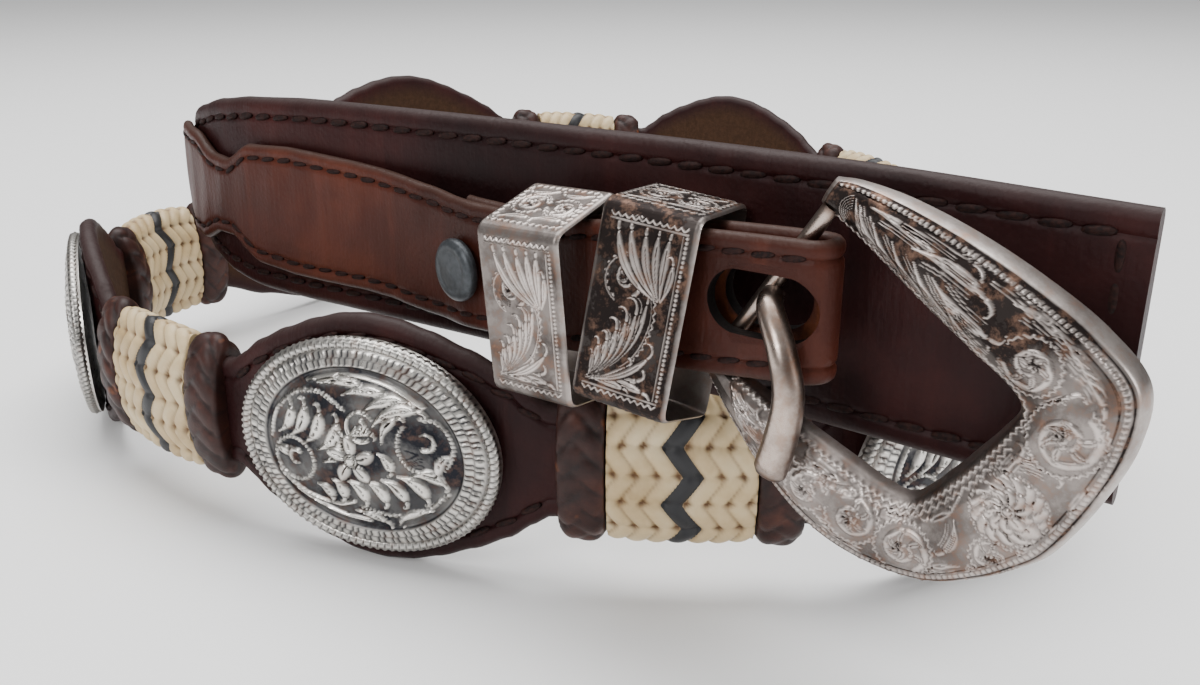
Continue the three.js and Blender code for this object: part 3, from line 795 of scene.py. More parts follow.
# conchos
# the dome's height against the share of the way out, and the lines round its rim with their widths
conchoDome = ((0, 4.0), (0.45, 3.45), (0.72, 2.55), (0.755, 2.35), (0.78, 2.9), (0.90, 2.25), (0.955, 1.5),
              (0.985, 1.2), (1.0, 0.0))
conchoLines = ((0.852, 0.006), (0.925, 0.008), (0.768, 0.012))
conchoRope = {"lobes": 104, "section": 8, "in": 0.75, "height": 1.15}
# each plume runs from x0, y0 to x1, y1, with its bow and its width
conchoPlumes = (
    (-7.0, 10.4, 1.4, 11.0, 0.14, 0.55), (-2.4, 9.2, 5.4, 10.0, 0.2, 0.7),
    (1.2, 7.0, 8.8, 9.2, 0.25, 0.85), (2.6, 4.6, 10.4, 8.0, 0.3, 0.85), (4.2, 2.2, 7.0, 6.6, 0.35, 0.6),
    (-14.6, 1.2, -12.0, 6.2, -0.3, 0.7), (-12.4, 1.0, -9.4, 6.6, -0.3, 0.85),
    (-9.8, 0.2, -6.6, 6.0, -0.3, 0.85), (-7.4, -0.6, -3.4, 4.8, -0.3, 0.85),
    (-6.6, -2.6, -2.6, 2.2, -0.35, 0.8), (-1.6, 1.6, 2.6, 3.4, 0.5, 0.6), (3.2, 0.6, 5.4, -2.6, 0.35, 0.7),
    (-8.2, -6.6, -5.6, -9.0, 0.4, 0.75), (-5.2, -5.2, -3.4, -8.6, 0.4, 0.8),
    (-2.6, -5.0, 0.6, -8.6, 0.35, 0.85), (0.6, -4.6, 4.2, -8.2, 0.35, 0.85),
    (3.4, -4.0, 7.6, -7.6, 0.35, 0.85), (6.4, -3.0, 11.2, -6.6, 0.35, 0.9),
    (8.8, -2.6, 14.2, -3.6, 0.35, 0.85), (15.8, 1.6, 13.2, -2.2, -0.4, 0.6),
    (-15.4, -1.4, -12.6, -1.6, -0.3, 0.7), (12.2, -8.4, 6.4, -11.0, -0.15, 0.5),
    (-2.0, -10.4, 3.8, -11.8, 0.1, 0.5),
)
# rings and curls: x, y, radius, where they start and how far they sweep, first and last half width
conchoCurls = ((0.6, 4.4, 2.4, 0.6, 4.6, 0.18, 0.4), (0.5, 4.6, 0.9, 3.6, 4.0, 0.14, 0.36),
               (11.4, 3.2, 1.3, 4.4, 4.2, 0.45, 0.16), (-11.6, -2.6, 1.2, 1.0, 4.0, 0.5, 0.16))


def conchoStrokes():
    lift = 0.55
    made = []
    for path in (roundPath(((-16.4, 0.0), (-15.0, 4.6), (-11.4, 8.2), (-6.8, 9.0), (-2.2, 6.8))),
                 ringPath(-12.0, -3.0, 3.7), ringPath(11.2, 2.4, 4.5, 2.4, 5.6),
                 roundPath(((-0.6, -9.6), (4.6, -10.4), (10.0, -9.0), (14.6, -5.2)))):
        made.append(stroke(path, 0.36, lift * 0.6))
        made += beads(path, 0.66, 0.34, lift)
    for points in (((-16.2, -5.0), (-11.6, -8.8), (-5.0, -11.4), (0.6, -12.0)),
                   ((-15.0, -6.4), (-10.0, -9.0), (-4.6, -9.8), (-1.6, -8.8)),
                   ((-9.0, 10.6), (-2.0, 12.3), (5.0, 11.6), (11.0, 8.8))):
        made.append(stroke(roundPath(points), np.linspace(0.2, 0.42, 40), lift))
    for x0, y0, x1, y1, bow, width in conchoPlumes:
        made += plume(x0, y0, x1, y1, bow, width * 1.3, lift)
    for x, y, radius, start, sweep, first, last in conchoCurls:
        made.append(stroke(ringPath(x, y, radius, start, sweep), np.linspace(first, last, 48), lift))
    for k in range(7):
        made.append(stroke(ringPath(10.4, 1.2, 0.5 + 0.34 * k, 3.0, 2.0, 12), 0.07, -0.14))
    return made + flower(-1.4, -1.5, 4.0, 5, 0.5)


def conchoFrame(i):
    middle = segmentAt[i]
    along = unit(onStrap(middle - 20, 0, 0) - onStrap(middle + 20, 0, 0))
    out = unit(np.array([along[1], -along[0], 0]))
    up = unit(np.cross(out, along))
    spots = np.arange(-22.5, 22.6, 2.5)
    seat = onStrap(middle, 0, 0)
    lift = np.max((onStrap(middle + spots, strap["thick"] / 2, 0) - seat) @ out)
    return seat + out * (lift + 0.3), along, up, out


def conchoShape():
    around, across = 240, 72
    piece, column, row = addGrid("conchoShape", around, across)
    angle = tau * column / around
    reachOut = 1 - (row / across) * 0.998
    a, b = conchoSize["halfLength"], conchoSize["halfHeight"]
    x, y = a * reachOut * np.cos(angle), b * reachOut * np.sin(angle)
    field = reachOut < 0.76
    raised, cut = engrave(x, y, conchoStrokes())
    relief = np.where(field, raised + cut * 0.8, 0)
    ticks = np.cos(angle * 96)
    inner = (reachOut > 0.785) & (reachOut < 0.845)
    outer = (reachOut > 0.86) & (reachOut < 0.915)
    slanted = np.cos(angle * 96 + 2.4 * np.sin(9 * reachOut))
    band = np.where(inner, 0.16 * ticks, np.where(outer, 0.2 * slanted, 0))
    height = linesAt(conchoDome, reachOut) + relief + band
    groove = np.clip(0.25 - band / 0.17, 0, 1) * 0.9 * (inner | outer)
    edgeLine = sum(np.exp(-((reachOut - at) / wide) ** 2) for at, wide in conchoLines)
    fieldShade = 0.9 - raised / 0.58 - cut / 0.4 + 0.1 * np.sin(x * 0.45 + 0.8) * np.cos(y * 0.5)
    patinaAndShade = np.clip(np.where(field, fieldShade, 0.14 + groove * 1.2 + edgeLine), 0, 0.95)
    bpy.data.objects.remove(piece, do_unlink=True)
    return {"x": x, "y": y, "height": height, "patinaAndShade": patinaAndShade, "cells": (around, across)}


# a shape's x, y and height laid on a concho's seat
def onSeat(frameHere, x, y, height):
    seat, along, up, out = frameHere
    return seat + x[:, None] * along + y[:, None] * up + height[:, None] * out


engravedConcho = conchoShape()


def addConcho(i):
    here = conchoFrame(i)
    piece, column, row = addGrid(f"concho{i + 1}", *engravedConcho["cells"])
    placeMesh(piece, onSeat(here, *(engravedConcho[key] for key in ("x", "y", "height"))))
    mark(piece, "patinaAndShade", engravedConcho["patinaAndShade"])
    closeShell(piece, 70)
    finishPiece(piece, conchoSilver, "belt", "engraved_silver", f"concho_{i + 1}")
    lobes = conchoRope["lobes"]
    rope, column, row = addGrid(f"concho{i + 1}Rope", lobes * 4, conchoRope["section"])
    angle, turn = tau * column / (lobes * 4), tau * row / conchoRope["section"]
    twist = 0.5 + 0.5 * np.cos(angle * lobes + 3 * turn)
    thick = 0.72 + 0.42 * np.sqrt(twist)
    outwards = thick * np.cos(turn) - conchoRope["in"]
    x = (conchoSize["halfLength"] + outwards) * np.cos(angle)
    y = (conchoSize["halfHeight"] + outwards) * np.sin(angle)
    placeMesh(rope, onSeat(here, x, y, conchoRope["height"] + thick * np.sin(turn)))
    mark(rope, "patinaAndShade", np.clip(0.98 - twist * 1.5, 0.1, 0.95))
    closeShell(rope, 80)
    finishPiece(rope, conchoSilver, "belt", "engraved_silver")


for i in range(6):
    addConcho(i)
print("conchos made")

# the flat buckle end: s to the left from the squared end, off towards the viewer, z up
endOrigin = np.array([62.3, 120.7, 0.0])
endAngle = -atan2(0.562, 0.827)
endAlong = np.array([cos(endAngle), sin(endAngle), 0.0])
endAway = np.array([-sin(endAngle), cos(endAngle), 0.0])


def onEnd(s, off, z):
    s, off, z = np.broadcast_arrays(np.asarray(s, float), off, z)
    return endOrigin - s[..., None] * endAlong - off[..., None] * endAway + z[..., None] * upward


# the billet, with tables against the distance from the squared end
billetStrap = {"thick": 2.0, "width": 19.05, "foldAt": 35.2, "foldGap": 4.9, "backEnd": 94.0,
               "closedGap": 2.3, "closes": (52.2, 76), "reach": 182.0, "grooveIn": 2.3, "rows": 260}
billetStitch = {"pitch": 4.0, "length": 3.3, "slant": 0.14, "width": 0.5, "proud": 0.4, "lift": 0.78}
# the slot for the tongue: where it starts in each layer, and how far off each cut reaches
slot = {"width": 8.4, "z": 53.9, "end": 49.5, "cuts": ((34.6, 11.4, 17), (37.2, 5, 11.9))}
billetOff = ((33, 13.4), (58, 13.2), (77, 10.9), (90, 8.4), (102, 5.2), (114, 3.2), (122, 2.9))
billetRise = ((33, 53.8), (58, 52.2), (77, 49.8), (96, 49.0), (120, 50.0), (170, 50.6))
evenHalf = billetStrap["width"] / 2
billetHalf = ((33, 9.1), (50, evenHalf), (80, evenHalf), (110, 10.7), (136, 11.4), (146, 10.8), (153, 7.2),
              (158, 7.4), (166, 10.4), (176, 10.6), (182, 7.5))
foldAt, foldGap = billetStrap["foldAt"], billetStrap["foldGap"]
frontLength = billetStrap["reach"] - foldAt
foldLength = pi * foldGap / 2


# a point at r along the billet: over the front layer, round the fold and back under it
def billetPlace(r, outward, z):
    angle = np.clip((r - frontLength) / foldLength, 0, 1) * pi
    inFold, back = r > frontLength, r > frontLength + foldLength
    s = np.where(inFold, foldAt - np.sin(angle) * foldGap / 2, billetStrap["reach"] - r)
    s = np.where(back, foldAt + (r - frontLength - foldLength), s)
    opens, closed = billetStrap["closes"]
    t = np.clip((s - opens) / (closed - opens), 0, 1)
    closing = t * t * (3 - 2 * t)
    middle = tableAt(billetOff, foldAt) - foldGap / 2
    off = np.where(inFold, middle + np.cos(angle) * foldGap / 2, tableAt(billetOff, s))
    apart = foldGap + (billetStrap["closedGap"] - foldGap) * closing
    off = np.where(back, tableAt(billetOff, s) - apart, off)
    off = off + np.cos(angle) * outward
    s = s - np.sin(angle) * outward
    rise = tableAt(billetRise, s) - onStrap(s, 0, 0)[..., 2]
    return onStrap(s, off, rise + z)


def addBillet():
    half, groove, rows = billetStrap["thick"] / 2, billetStrap["grooveIn"], billetStrap["rows"]
    near = [1.3] + [groove + d for d in (-0.5, -0.25, 0, 0.25, 0.55, 1.2)]

    def dip(d):
        return 0.34 * np.exp(-((d - groove) / 0.33) ** 2)
    side, inset, share, outward = leatherSection(half, 7, near, dip, np.linspace(-1, 1, 10)[1:-1],
                                                 (0.9, 0.45, 0.0, -0.45, -0.9))
    piece, column, row = addGrid("billet", len(side) - 1, rows)
    side, inset, share, n = side[column], inset[column], share[column], outward[column]
    r = (frontLength + foldLength + billetStrap["backEnd"] - foldAt) * row / rows
    s = np.where(r <= frontLength, billetStrap["reach"] - r, foldAt + (r - frontLength - foldLength))
    z = acrossLeather(side, inset, share, tableAt(billetHalf, s), near[-1])
    wavy = 0.13 * np.sin(s * 0.33) * np.cos(z * 0.24) + 0.08 * np.sin(s * 0.9 + z * 0.2)
    placeMesh(piece, billetPlace(r, n + wavy * np.clip(n / half, 0, 1) * (s > 60), z))
    mark(piece, "along", r / 1000)
    mark(piece, "height", z / 1000)
    # edge mask: the rounded edges, coloured as burnish with a painted highlight
    mark(piece, "edge", np.clip(1.1 - inset / 0.9, 0, 1) * (side != 0))
    mark(piece, "flesh", ((n < -half + 0.2) & (side == 0)) * 0.6)
    closeShell(piece)
    piece.data.materials.append(billetLeather)
    return piece


def cutSlot(piece, start, offFrom, offTo):
    bpy.ops.object.select_all(action="DESELECT")
    bpy.ops.mesh.primitive_cylinder_add(vertices=40, radius=1, depth=2)
    cutter = bpy.context.active_object
    x, y, depth = np.array([v.co for v in cutter.data.vertices]).T
    r = slot["width"] / 2
    straight = (slot["end"] - start) / 2 - r
    s = (start + slot["end"]) / 2 + r * x + np.sign(x) * straight * (np.abs(x) > 0.02)
    placeMesh(cutter, onEnd(s, np.where(depth > 0, offTo, offFrom), slot["z"] + r * y))
    cutter.data.materials.append(cutLeather)
    bpy.ops.object.mode_set(mode="EDIT")
    bpy.ops.mesh.select_all(action="SELECT")
    bpy.ops.mesh.normals_make_consistent(inside=False)
    bpy.ops.object.mode_set(mode="OBJECT")
    bpy.ops.object.select_all(action="DESELECT")
    piece.select_set(True)
    bpy.context.view_layer.objects.active = piece
    cut = piece.modifiers.new("slot", "BOOLEAN")
    cut.operation = "DIFFERENCE"
    cut.solver = "EXACT"
    cut.object = cutter
    cut.material_mode = "TRANSFER"
    bpy.ops.object.modifier_apply(modifier="slot")
    bpy.data.objects.remove(cutter, do_unlink=True)


billet = addBillet()
for start, offFrom, offTo in slot["cuts"]:
    cutSlot(billet, start, offFrom, offTo)
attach(billet, "belt")
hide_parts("billet")


def onBilletEdge(r, side):
    s = np.where(r <= frontLength, billetStrap["reach"] - r, foldAt)
    return billetPlace(r, billetStitch["lift"], side * (tableAt(billetHalf, s) - billetStrap["grooveIn"]))


finishStitches("billet", onBilletEdge, 3.0, frontLength + 0.5, billetStitch, "billet_leather")
print("billet made")

# the snap, with its radius and height against the share of the way to its middle
snap = {"s": 94.6, "off": 9.25, "z": 48.6, "turn": 165, "cells": (48, 18)}
snapRadius = ((0, 4.7), (0.08, 4.85), (0.3, 4.7), (0.42, 4.2), (0.5, 3.6), (1, 0.01))
snapHeight = ((0, 0), (0.08, 0.5), (0.3, 1.15), (0.42, 1.6), (0.5, 1.75), (0.56, 1.62), (0.7, 1.75), (1, 2.0))


def addSnap():
    around, across = snap["cells"]
    piece, column, row = addGrid("snapCap", around, across)
    angle = tau * column / around
    radius, out = linesAt(snapRadius, row / across), linesAt(snapHeight, row / across)
    x, z = radius * np.cos(angle), radius * np.sin(angle)
    c, s = cos(radians(snap["turn"])), sin(radians(snap["turn"]))
    placeMesh(piece, onEnd(snap["s"] - x * c + out * s, snap["off"] - x * s - out * c, snap["z"] + z))
    closeShell(piece)
    finishPiece(piece, blackSnap, "belt", "snap_metal", "snap_cap")


addSnap()

# keepers
keeperSize = {"length": 14.0, "depth": 14.0, "wall": 0.9, "rounding": 1.9, "rimFrom": 6.3, "rimWide": 0.7,
              "cells": (448, 108), "insideRows": 4}
# dark: each keeper's base darkness, which is painted shade; keeper_2 is set much darker than keeper_1
keeperPlaces = (
    {"name": "keeper_1", "back": 15.0, "front": 11.9, "s": 74.6, "off": 12.3, "z": 48.1, "clockwise": -1.6,
     "yaw": -2.5, "tip": 4.4, "dark": 0.66},
    {"name": "keeper_2", "back": 15.0, "front": 12.8, "s": 58.1, "off": 11.7, "z": 50.4, "clockwise": 5.3,
     "yaw": 2.3, "tip": -10, "dark": 0.95},
)
# plumes of the front: where they start and end across, where they end as a share of the half height,
# their bow and their width; those of the top and bottom run from x, y to x, y
keeperPlumes = {
    "sweep": ((1.9, 0.14, 0.26, 0.42), (0.6, -0.02, 0.24, 0.5), (-0.6, -0.13, 0.22, 0.5),
              (-1.8, -0.26, 0.2, 0.5), (-2.9, -0.42, 0.16, 0.5), (-4.0, -0.5, 0.1, 0.42)),
    "below": ((0.8, -0.68, 0.16, 0.5), (2.6, -0.8, 0.12, 0.55), (3.6, -0.94, -0.1, 0.5),
              (0.8, -0.96, -0.05, 0.4), (3.4, -0.5, 0.2, 0.4)),
    "above": ((3.3, 0.0, 0.93, 0.18, 0.55), (3.3, 1.8, 0.96, 0.12, 0.5), (3.5, 3.4, 0.94, 0.06, 0.5),
              (3.2, -2.2, 0.96, 0.24, 0.55), (3.6, 4.4, 0.66, -0.12, 0.4), (2.9, -4.0, 0.92, 0.3, 0.5)),
    "ends": ((-5.2, -4.4, -0.2, -3.6), (-0.6, 4.2, -5.0, 3.4), (0.2, -3.8, 5.2, -3.4), (5.2, 4.2, 0.6, 3.6)),
}


# rounded outline of the loop through its corners, with the distance along it from the middle of the front
def keeperOutline(back, front):
    depth = keeperSize["depth"]
    corners = [(0, 0), (0, back), (depth, front + 0.5), (depth, 0), (depth, -front - 0.5), (0, -back), (0, 0)]
    points = []
    for k in range(1, len(corners) - 1):
        p, c, q = (np.array(corners[k + d], float) for d in (-1, 0, 1))
        r = keeperSize["rounding"] if k != 3 else 0.01
        a = c + (p - c) / np.linalg.norm(p - c) * r
        b = c + (q - c) / np.linalg.norm(q - c) * r
        for t in np.linspace(0, 1, 7):
            points.append((1 - t) ** 2 * a + 2 * t * (1 - t) * c + t * t * b)
    points = np.vstack([corners[0], *points, corners[-1]])
    return points, pathDistance(points)


def keeperStrokes(front, depth):
    half, tall, lift = 5.0, front - 2.1, 0.2
    foot = (-half, -tall + 0.4)
    eye = (-1.5, tall * 0.36)
    around = ringPath(*eye, 3.2, -0.4, 4.7, 30)
    sweep = roundPath((foot, (-1.8, -tall + 1.8), (1.6, -tall * 0.52), (3.1, -tall * 0.1), (2.6, tall * 0.22),
                       around[0]))
    border = np.vstack([sweep, around])
    inside = border * [0.95, 0.98] - [0.25, 0.2]
    made = [zigzag(border, 0.5, 0.2, 0.13, lift), stroke(inside, 0.1, lift * 0.7)]
    made += scroll(eye[0], eye[1], 2.7, -1.0, 1.2, lift, 4, False)
    for x1, y1, bow, width in keeperPlumes["sweep"]:
        made += plume(foot[0] + 0.1, foot[1] + 0.3, x1, tall * y1, -bow, width, lift)
        made += plume(foot[0] + 0.3, foot[1] + 0.6, x1 - 0.7, tall * y1 - 1.5, -bow, width * 0.55, lift * 0.8)
    for x1, y1, bow, width in keeperPlumes["below"]:
        made += plume(foot[0] + 0.8, foot[1] + 0.1, x1, tall * y1, -bow, width, lift)
    for x0, x1, y1, bow, width in keeperPlumes["above"]:
        made += plume(x0, tall * 0.18, x1, tall * y1, bow, width, lift)
    for k in range(6):
        made.append(stroke(ringPath(eye[0] - 0.3, eye[1] - 0.5, 0.5 + 0.26 * k, 2.4, 2.2, 10), 0.06, -0.12))
    made.append(stroke([(half + 0.1, -tall), (half + 0.1, tall)], 0.09, lift * 0.8))
    made += beads([(half + 0.62, -tall), (half + 0.62, tall)], 0.6, 0.27, lift)
    for side in (-1, 1):
        wriggle, line = (tall + 0.75) * side, (tall + 0.25) * side
        made.append(zigzag([(-half - 0.4, wriggle), (half + 0.6, wriggle)], 0.5, 0.24, 0.14, lift))
        made.append(stroke([(-half - 0.5, line), (half + 0.7, line)], 0.09, lift * 0.8))
        # top and bottom faces
        y = (front + depth / 2) * side
        made += scroll(-2.6, y + 0.2, 2.7, 0.4, 1.3, 0.18, 4)
        made += scroll(2.9, y - 0.2, 2.5, 3.4, 1.3, 0.18, 4)
        for x0, y0, x1, y1 in keeperPlumes["ends"]:
            made += plume(x0, y + y0, x1, y + y1, 0.2, 0.5, 0.16)
        for edge in (-1, 1):
            made.append(zigzag([(5.9 * edge, y - 5.2), (5.9 * edge, y + 5.2)], 0.55, 0.26, 0.14, 0.14))
            made.append(zigzag([(-5.8, y + 5.2 * edge), (5.8, y + 5.2 * edge)], 0.55, 0.24, 0.14, 0.14))
    return made


# points turned from their i axis towards their j axis
def turned(points, i, j, degreesTurned):
    c, s = cos(radians(degreesTurned)), sin(radians(degreesTurned))
    made = points.copy()
    made[:, i] = c * points[:, i] - s * points[:, j]
    made[:, j] = s * points[:, i] + c * points[:, j]
    return made


def addKeeper(place):
    outline, distance = keeperOutline(place["back"], place["front"])
    total = distance[-1]
    (around, along), inner = keeperSize["cells"], keeperSize["insideRows"]
    piece, column, row = addGrid(place["name"] + "Loop", around, along + inner)
    # most columns go to the front, top and bottom, few to the back
    rare, wideBack = 16, place["back"] - 1
    d = np.interp(column, [0, rare, around - rare, around], [0, wideBack, total - wideBack, total])
    px, py = np.interp(d, distance, outline[:, 0]), np.interp(d, distance, outline[:, 1])
    ahead, behind = np.minimum(d + 0.05, total), np.maximum(d - 0.05, 0)
    tx = np.interp(ahead, distance, outline[:, 0]) - np.interp(behind, distance, outline[:, 0])
    ty = np.interp(ahead, distance, outline[:, 1]) - np.interp(behind, distance, outline[:, 1])
    size = np.hypot(tx, ty)
    nx, ny = -ty / size, tx / size
    outer = row <= along
    share = np.where(outer, row / along, 1 - (row - along) / inner)
    x = (0.5 - share) * keeperSize["length"]
    unrolled = total / 2 - d
    raised, cut = engrave(x, unrolled, keeperStrokes(place["front"], keeperSize["depth"]))
    hidden = (np.abs(unrolled) > place["front"] + keeperSize["depth"] - 1.5) | ~outer
    raised, cut = np.where(hidden, 0, raised), np.where(hidden, 0, cut)
    rim = np.clip((np.abs(x) - keeperSize["rimFrom"]) / keeperSize["rimWide"], 0, 1)
    lift = (raised + cut * 0.7) * (1 - rim) - 0.45 * rim ** 2.5
    within = ~outer & (row < along + inner)
    lift = np.where(within, -keeperSize["wall"], lift)
    local = np.stack([x, keeperSize["depth"] / 2 - px - nx * lift, py + ny * lift], axis=1)
    for i, j, angle in ((1, 2, "tip"), (2, 0, "clockwise"), (0, 1, "yaw")):
        local = turned(local, i, j, place[angle])
    placeMesh(piece, onEnd(place["s"] - local[:, 0], place["off"] - local[:, 1], place["z"] + local[:, 2]))
    # painted shade from the keeper's base darkness, lighter on raised strokes and darker in the cuts as
    # patina
    shade = place["dark"] - raised / 0.2 * 0.78 - cut / 0.15 * 0.5
    mark(piece, "patinaAndShade", np.where(hidden, 0.3, np.clip(shade, 0.06, 1) * (1 - rim) + 0.34 * rim))
    closeShell(piece, 70)
    finishPiece(piece, buckleSilver, place["name"], "engraved_silver", place["name"])


for place in keeperPlaces:
    addKeeper(place)
print("keepers made")

# buckle: inner and outer edge along the C, a along the bar and b away from it
buckle = {"tilt": 33.3, "x": -42.5, "off": 9.7, "z": 55.4, "barRadius": 1.1, "barHeight": 1.15,
          "barHalf": 13.4, "rows": 600, "topCells": 70, "underCells": 6}
frameRows = (
    (-1.6, 12.6, -1.8, 16.2, 2.3), (1.6, 12.6, 1.2, 18.0, 2.6), (6.5, 12.6, 7.0, 20.2, 4.0),
    (14.0, 11.9, 15.0, 22.0, 4.6), (22.0, 11.4, 23.5, 23.0, 4.8), (28.6, 11.0, 31.5, 23.1, 4.8),
    (31.0, 9.6, 38.5, 21.4, 4.8), (31.2, 6.0, 42.4, 15.5, 4.8), (31.0, 3.0, 44.3, 8.0, 4.8),
    (30.8, 0.0, 45.0, 0.0, 4.8), (30.5, -2.5, 44.0, -4.5, 4.8), (30.2, -5.0, 41.8, -9.5, 4.8),
    (29.4, -7.6, 37.8, -15.0, 4.8), (27.0, -9.0, 31.0, -19.2, 4.8), (21.0, -10.0, 23.5, -21.1, 4.8),
    (14.0, -11.0, 15.0, -20.2, 4.6), (6.5, -11.9, 7.0, -17.8, 3.8), (1.6, -12.6, 1.2, -16.0, 2.2),
    (-1.6, -12.6, -1.8, -14.8, 2.1),
)
# the share of the frame's thickness against the share of the way across it
buckleCrown = ((0, 0.0), (0.02, 0.3), (0.06, 0.56), (0.25, 0.88), (0.5, 1.0), (0.75, 0.9), (0.9, 0.72),
               (0.95, 0.6), (0.985, 0.34), (1.0, 0.0))
tilt = radians(buckle["tilt"])


def onBuckle(a, b, out):
    x = buckle["x"] + b * cos(tilt) + a * sin(tilt)
    z = buckle["z"] - b * sin(tilt) + a * cos(tilt)
    return onEnd(-x, buckle["off"] + out, z)


def offsetLine(share, start=0.02, stop=0.98, count=160):
    rows = smoothRows(frameRows, np.linspace(start, stop, count))
    b = rows[:, 0] + (rows[:, 2] - rows[:, 0]) * share
    a = rows[:, 1] + (rows[:, 3] - rows[:, 1]) * share
    return np.stack([b, a], axis=1)


# each plume runs from b, a to b, a, with its bow and its width
# each scroll has its middle, its radius, its start and its turns
bucklePlumes = (
    (2.0, 16.6, 7.4, 13.6, -0.2, 0.5), (2.8, 16.4, 11.0, 13.0, -0.2, 0.6),
    (5.4, 16.2, 15.0, 12.7, -0.2, 0.65), (8.4, 16.2, 18.8, 12.5, -0.2, 0.65),
    (11.6, 16.2, 22.4, 12.6, -0.2, 0.65), (4.0, 17.2, 13.6, 18.4, 0.1, 0.5),
    (6.0, 18.8, 17.0, 20.4, 0.08, 0.55), (10.6, 17.2, 20.4, 18.4, 0.14, 0.7),
    (14.4, 16.2, 23.6, 15.2, -0.16, 0.7), (17.6, 14.6, 25.6, 12.4, -0.2, 0.6),
    (17.8, 20.8, 27.4, 20.8, 0.14, 0.6), (22.8, 20.0, 31.4, 19.8, 0.2, 0.65),
    (26.6, 20.8, 34.6, 18.6, 0.16, 0.6), (29.8, 20.2, 36.8, 17.6, 0.16, 0.55),
    (32.6, 9.0, 33.6, 16.6, 0.2, 0.5), (33.0, 4.0, 38.4, 8.4, 0.3, 0.6),
    (33.4, 1.6, 34.4, 7.4, -0.25, 0.5), (42.4, 11.6, 42.8, 5.0, -0.2, 0.5),
    (43.0, 4.4, 42.4, -3.4, -0.2, 0.5), (41.4, -3.2, 40.0, -9.4, -0.25, 0.55),
    (38.8, -8.8, 36.6, -13.8, -0.2, 0.5), (33.0, -2.0, 32.4, -7.2, 0.25, 0.5),
    (34.6, -4.6, 36.4, -8.8, 0.3, 0.55), (31.4, -8.0, 28.0, -10.4, 0.25, 0.5),
    (35.4, -16.2, 30.6, -18.0, -0.2, 0.5), (30.2, -17.4, 24.0, -19.0, -0.12, 0.5),
    (29.6, -16.6, 22.6, -17.6, 0.14, 0.5), (23.4, -11.4, 17.6, -12.6, 0.16, 0.5),
    (22.8, -12.8, 16.0, -13.8, 0.16, 0.55), (16.4, -18.4, 10.0, -17.6, 0.12, 0.5),
    (16.6, -16.4, 10.6, -15.6, 0.16, 0.5), (15.6, -13.6, 9.6, -13.6, 0.16, 0.5),
    (11.6, -16.0, 6.0, -14.8, 0.14, 0.45), (9.8, -14.4, 4.4, -13.6, 0.16, 0.4),
)
buckleScrolls = (
    (28.4, 15.8, 3.5, -2.4, 1.3), (36.4, 12.2, 4.3, 1.4, -1.3), (26.2, -14.2, 3.4, 2.6, -1.3),
    (33.0, -12.4, 3.6, -0.4, 1.3), (40.4, -4.8, 2.6, 1.4, 1.3), (19.8, -15.8, 2.9, 0.8, 1.3),
)


def buckleStrokes():
    lift = 0.2
    made = []
    for x0, y0, x1, y1, bow, width in bucklePlumes:
        made += longPlume(x0, y0, x1, y1, bow, width, lift)
    for b, a, radius, start, turns in buckleScrolls:
        made.append(stroke([(b, a)], radius, 0.03))
        made += scroll(b, a, radius, start, turns, lift, 6)
    made += beads(ringPath(37.8, 1.2, 4.4), 0.5, 0.24, lift)
    for petals, radius in ((15, 4.0), (10, 2.6)):
        made += flower(37.8, 1.2, radius, petals, lift * 1.2)
    made += beads(offsetLine(0.87), 0.7, 0.33, lift)
    made.append(stroke(offsetLine(0.915), 0.12, -lift))
    made.append(stroke(offsetLine(0.82), 0.1, -lift))
    made.append(zigzag(offsetLine(0.09), 0.5, 0.2, 0.13, lift))
    made.append(zigzag(offsetLine(0.15, 0.4, 0.75), 0.6, 0.24, 0.13, lift))
    for k in range(6):
        made.append(stroke(ringPath(2.6, 15.2, 0.4 + 0.28 * k, 2.2, 2.4, 12), 0.07, lift * 0.8))
    return made


def addBuckle():
    along, top, under = (buckle[key] for key in ("rows", "topCells", "underCells"))
    piece, column, row = addGrid("buckleFrame", top + under, along)
    rows = smoothRows(frameRows, row / along)
    across = np.where(column <= top, column / top, (top + under - column) / under)
    b = rows[:, 0] + (rows[:, 2] - rows[:, 0]) * across
    a = rows[:, 1] + (rows[:, 3] - rows[:, 1]) * across
    ends = np.clip(np.minimum(row, along - row) / 10, 0, 1) ** 0.5
    upper = column <= top
    raised, cut = engrave(b, a, buckleStrokes())
    inField = upper & (across > 0.04) & (across < 0.95)
    relief = np.where(inField, raised + cut * 0.8, 0) * ends
    crown = rows[:, 4] * linesAt(buckleCrown, across)
    out = np.where(upper, crown * (0.35 + 0.65 * ends) + relief, 0.0)
    placeMesh(piece, onBuckle(a, b, out))
    # painted reflection: the upper arm is darkened as if it mirrors a dark surround
    armDarkReflection = np.clip((a - 8) / 8, 0, 1) * np.clip((34 - b) / 8, 0, 1)
    base = 0.6 + 0.38 * armDarkReflection
    rim = (across > 0.93) | (across < 0.03) | (row < 9) | (row > along - 9)
    shade = base - raised / 0.2 * (0.5 + 0.34 * armDarkReflection) - cut / 0.15 * 0.5
    mark(piece, "patinaAndShade", np.where(upper & ~rim, np.clip(shade, 0.08, 1), 0.36))
    closeShell(piece, 75)
    finishPiece(piece, buckleSilver, "buckle", "engraved_silver", "buckle")


addBuckle()


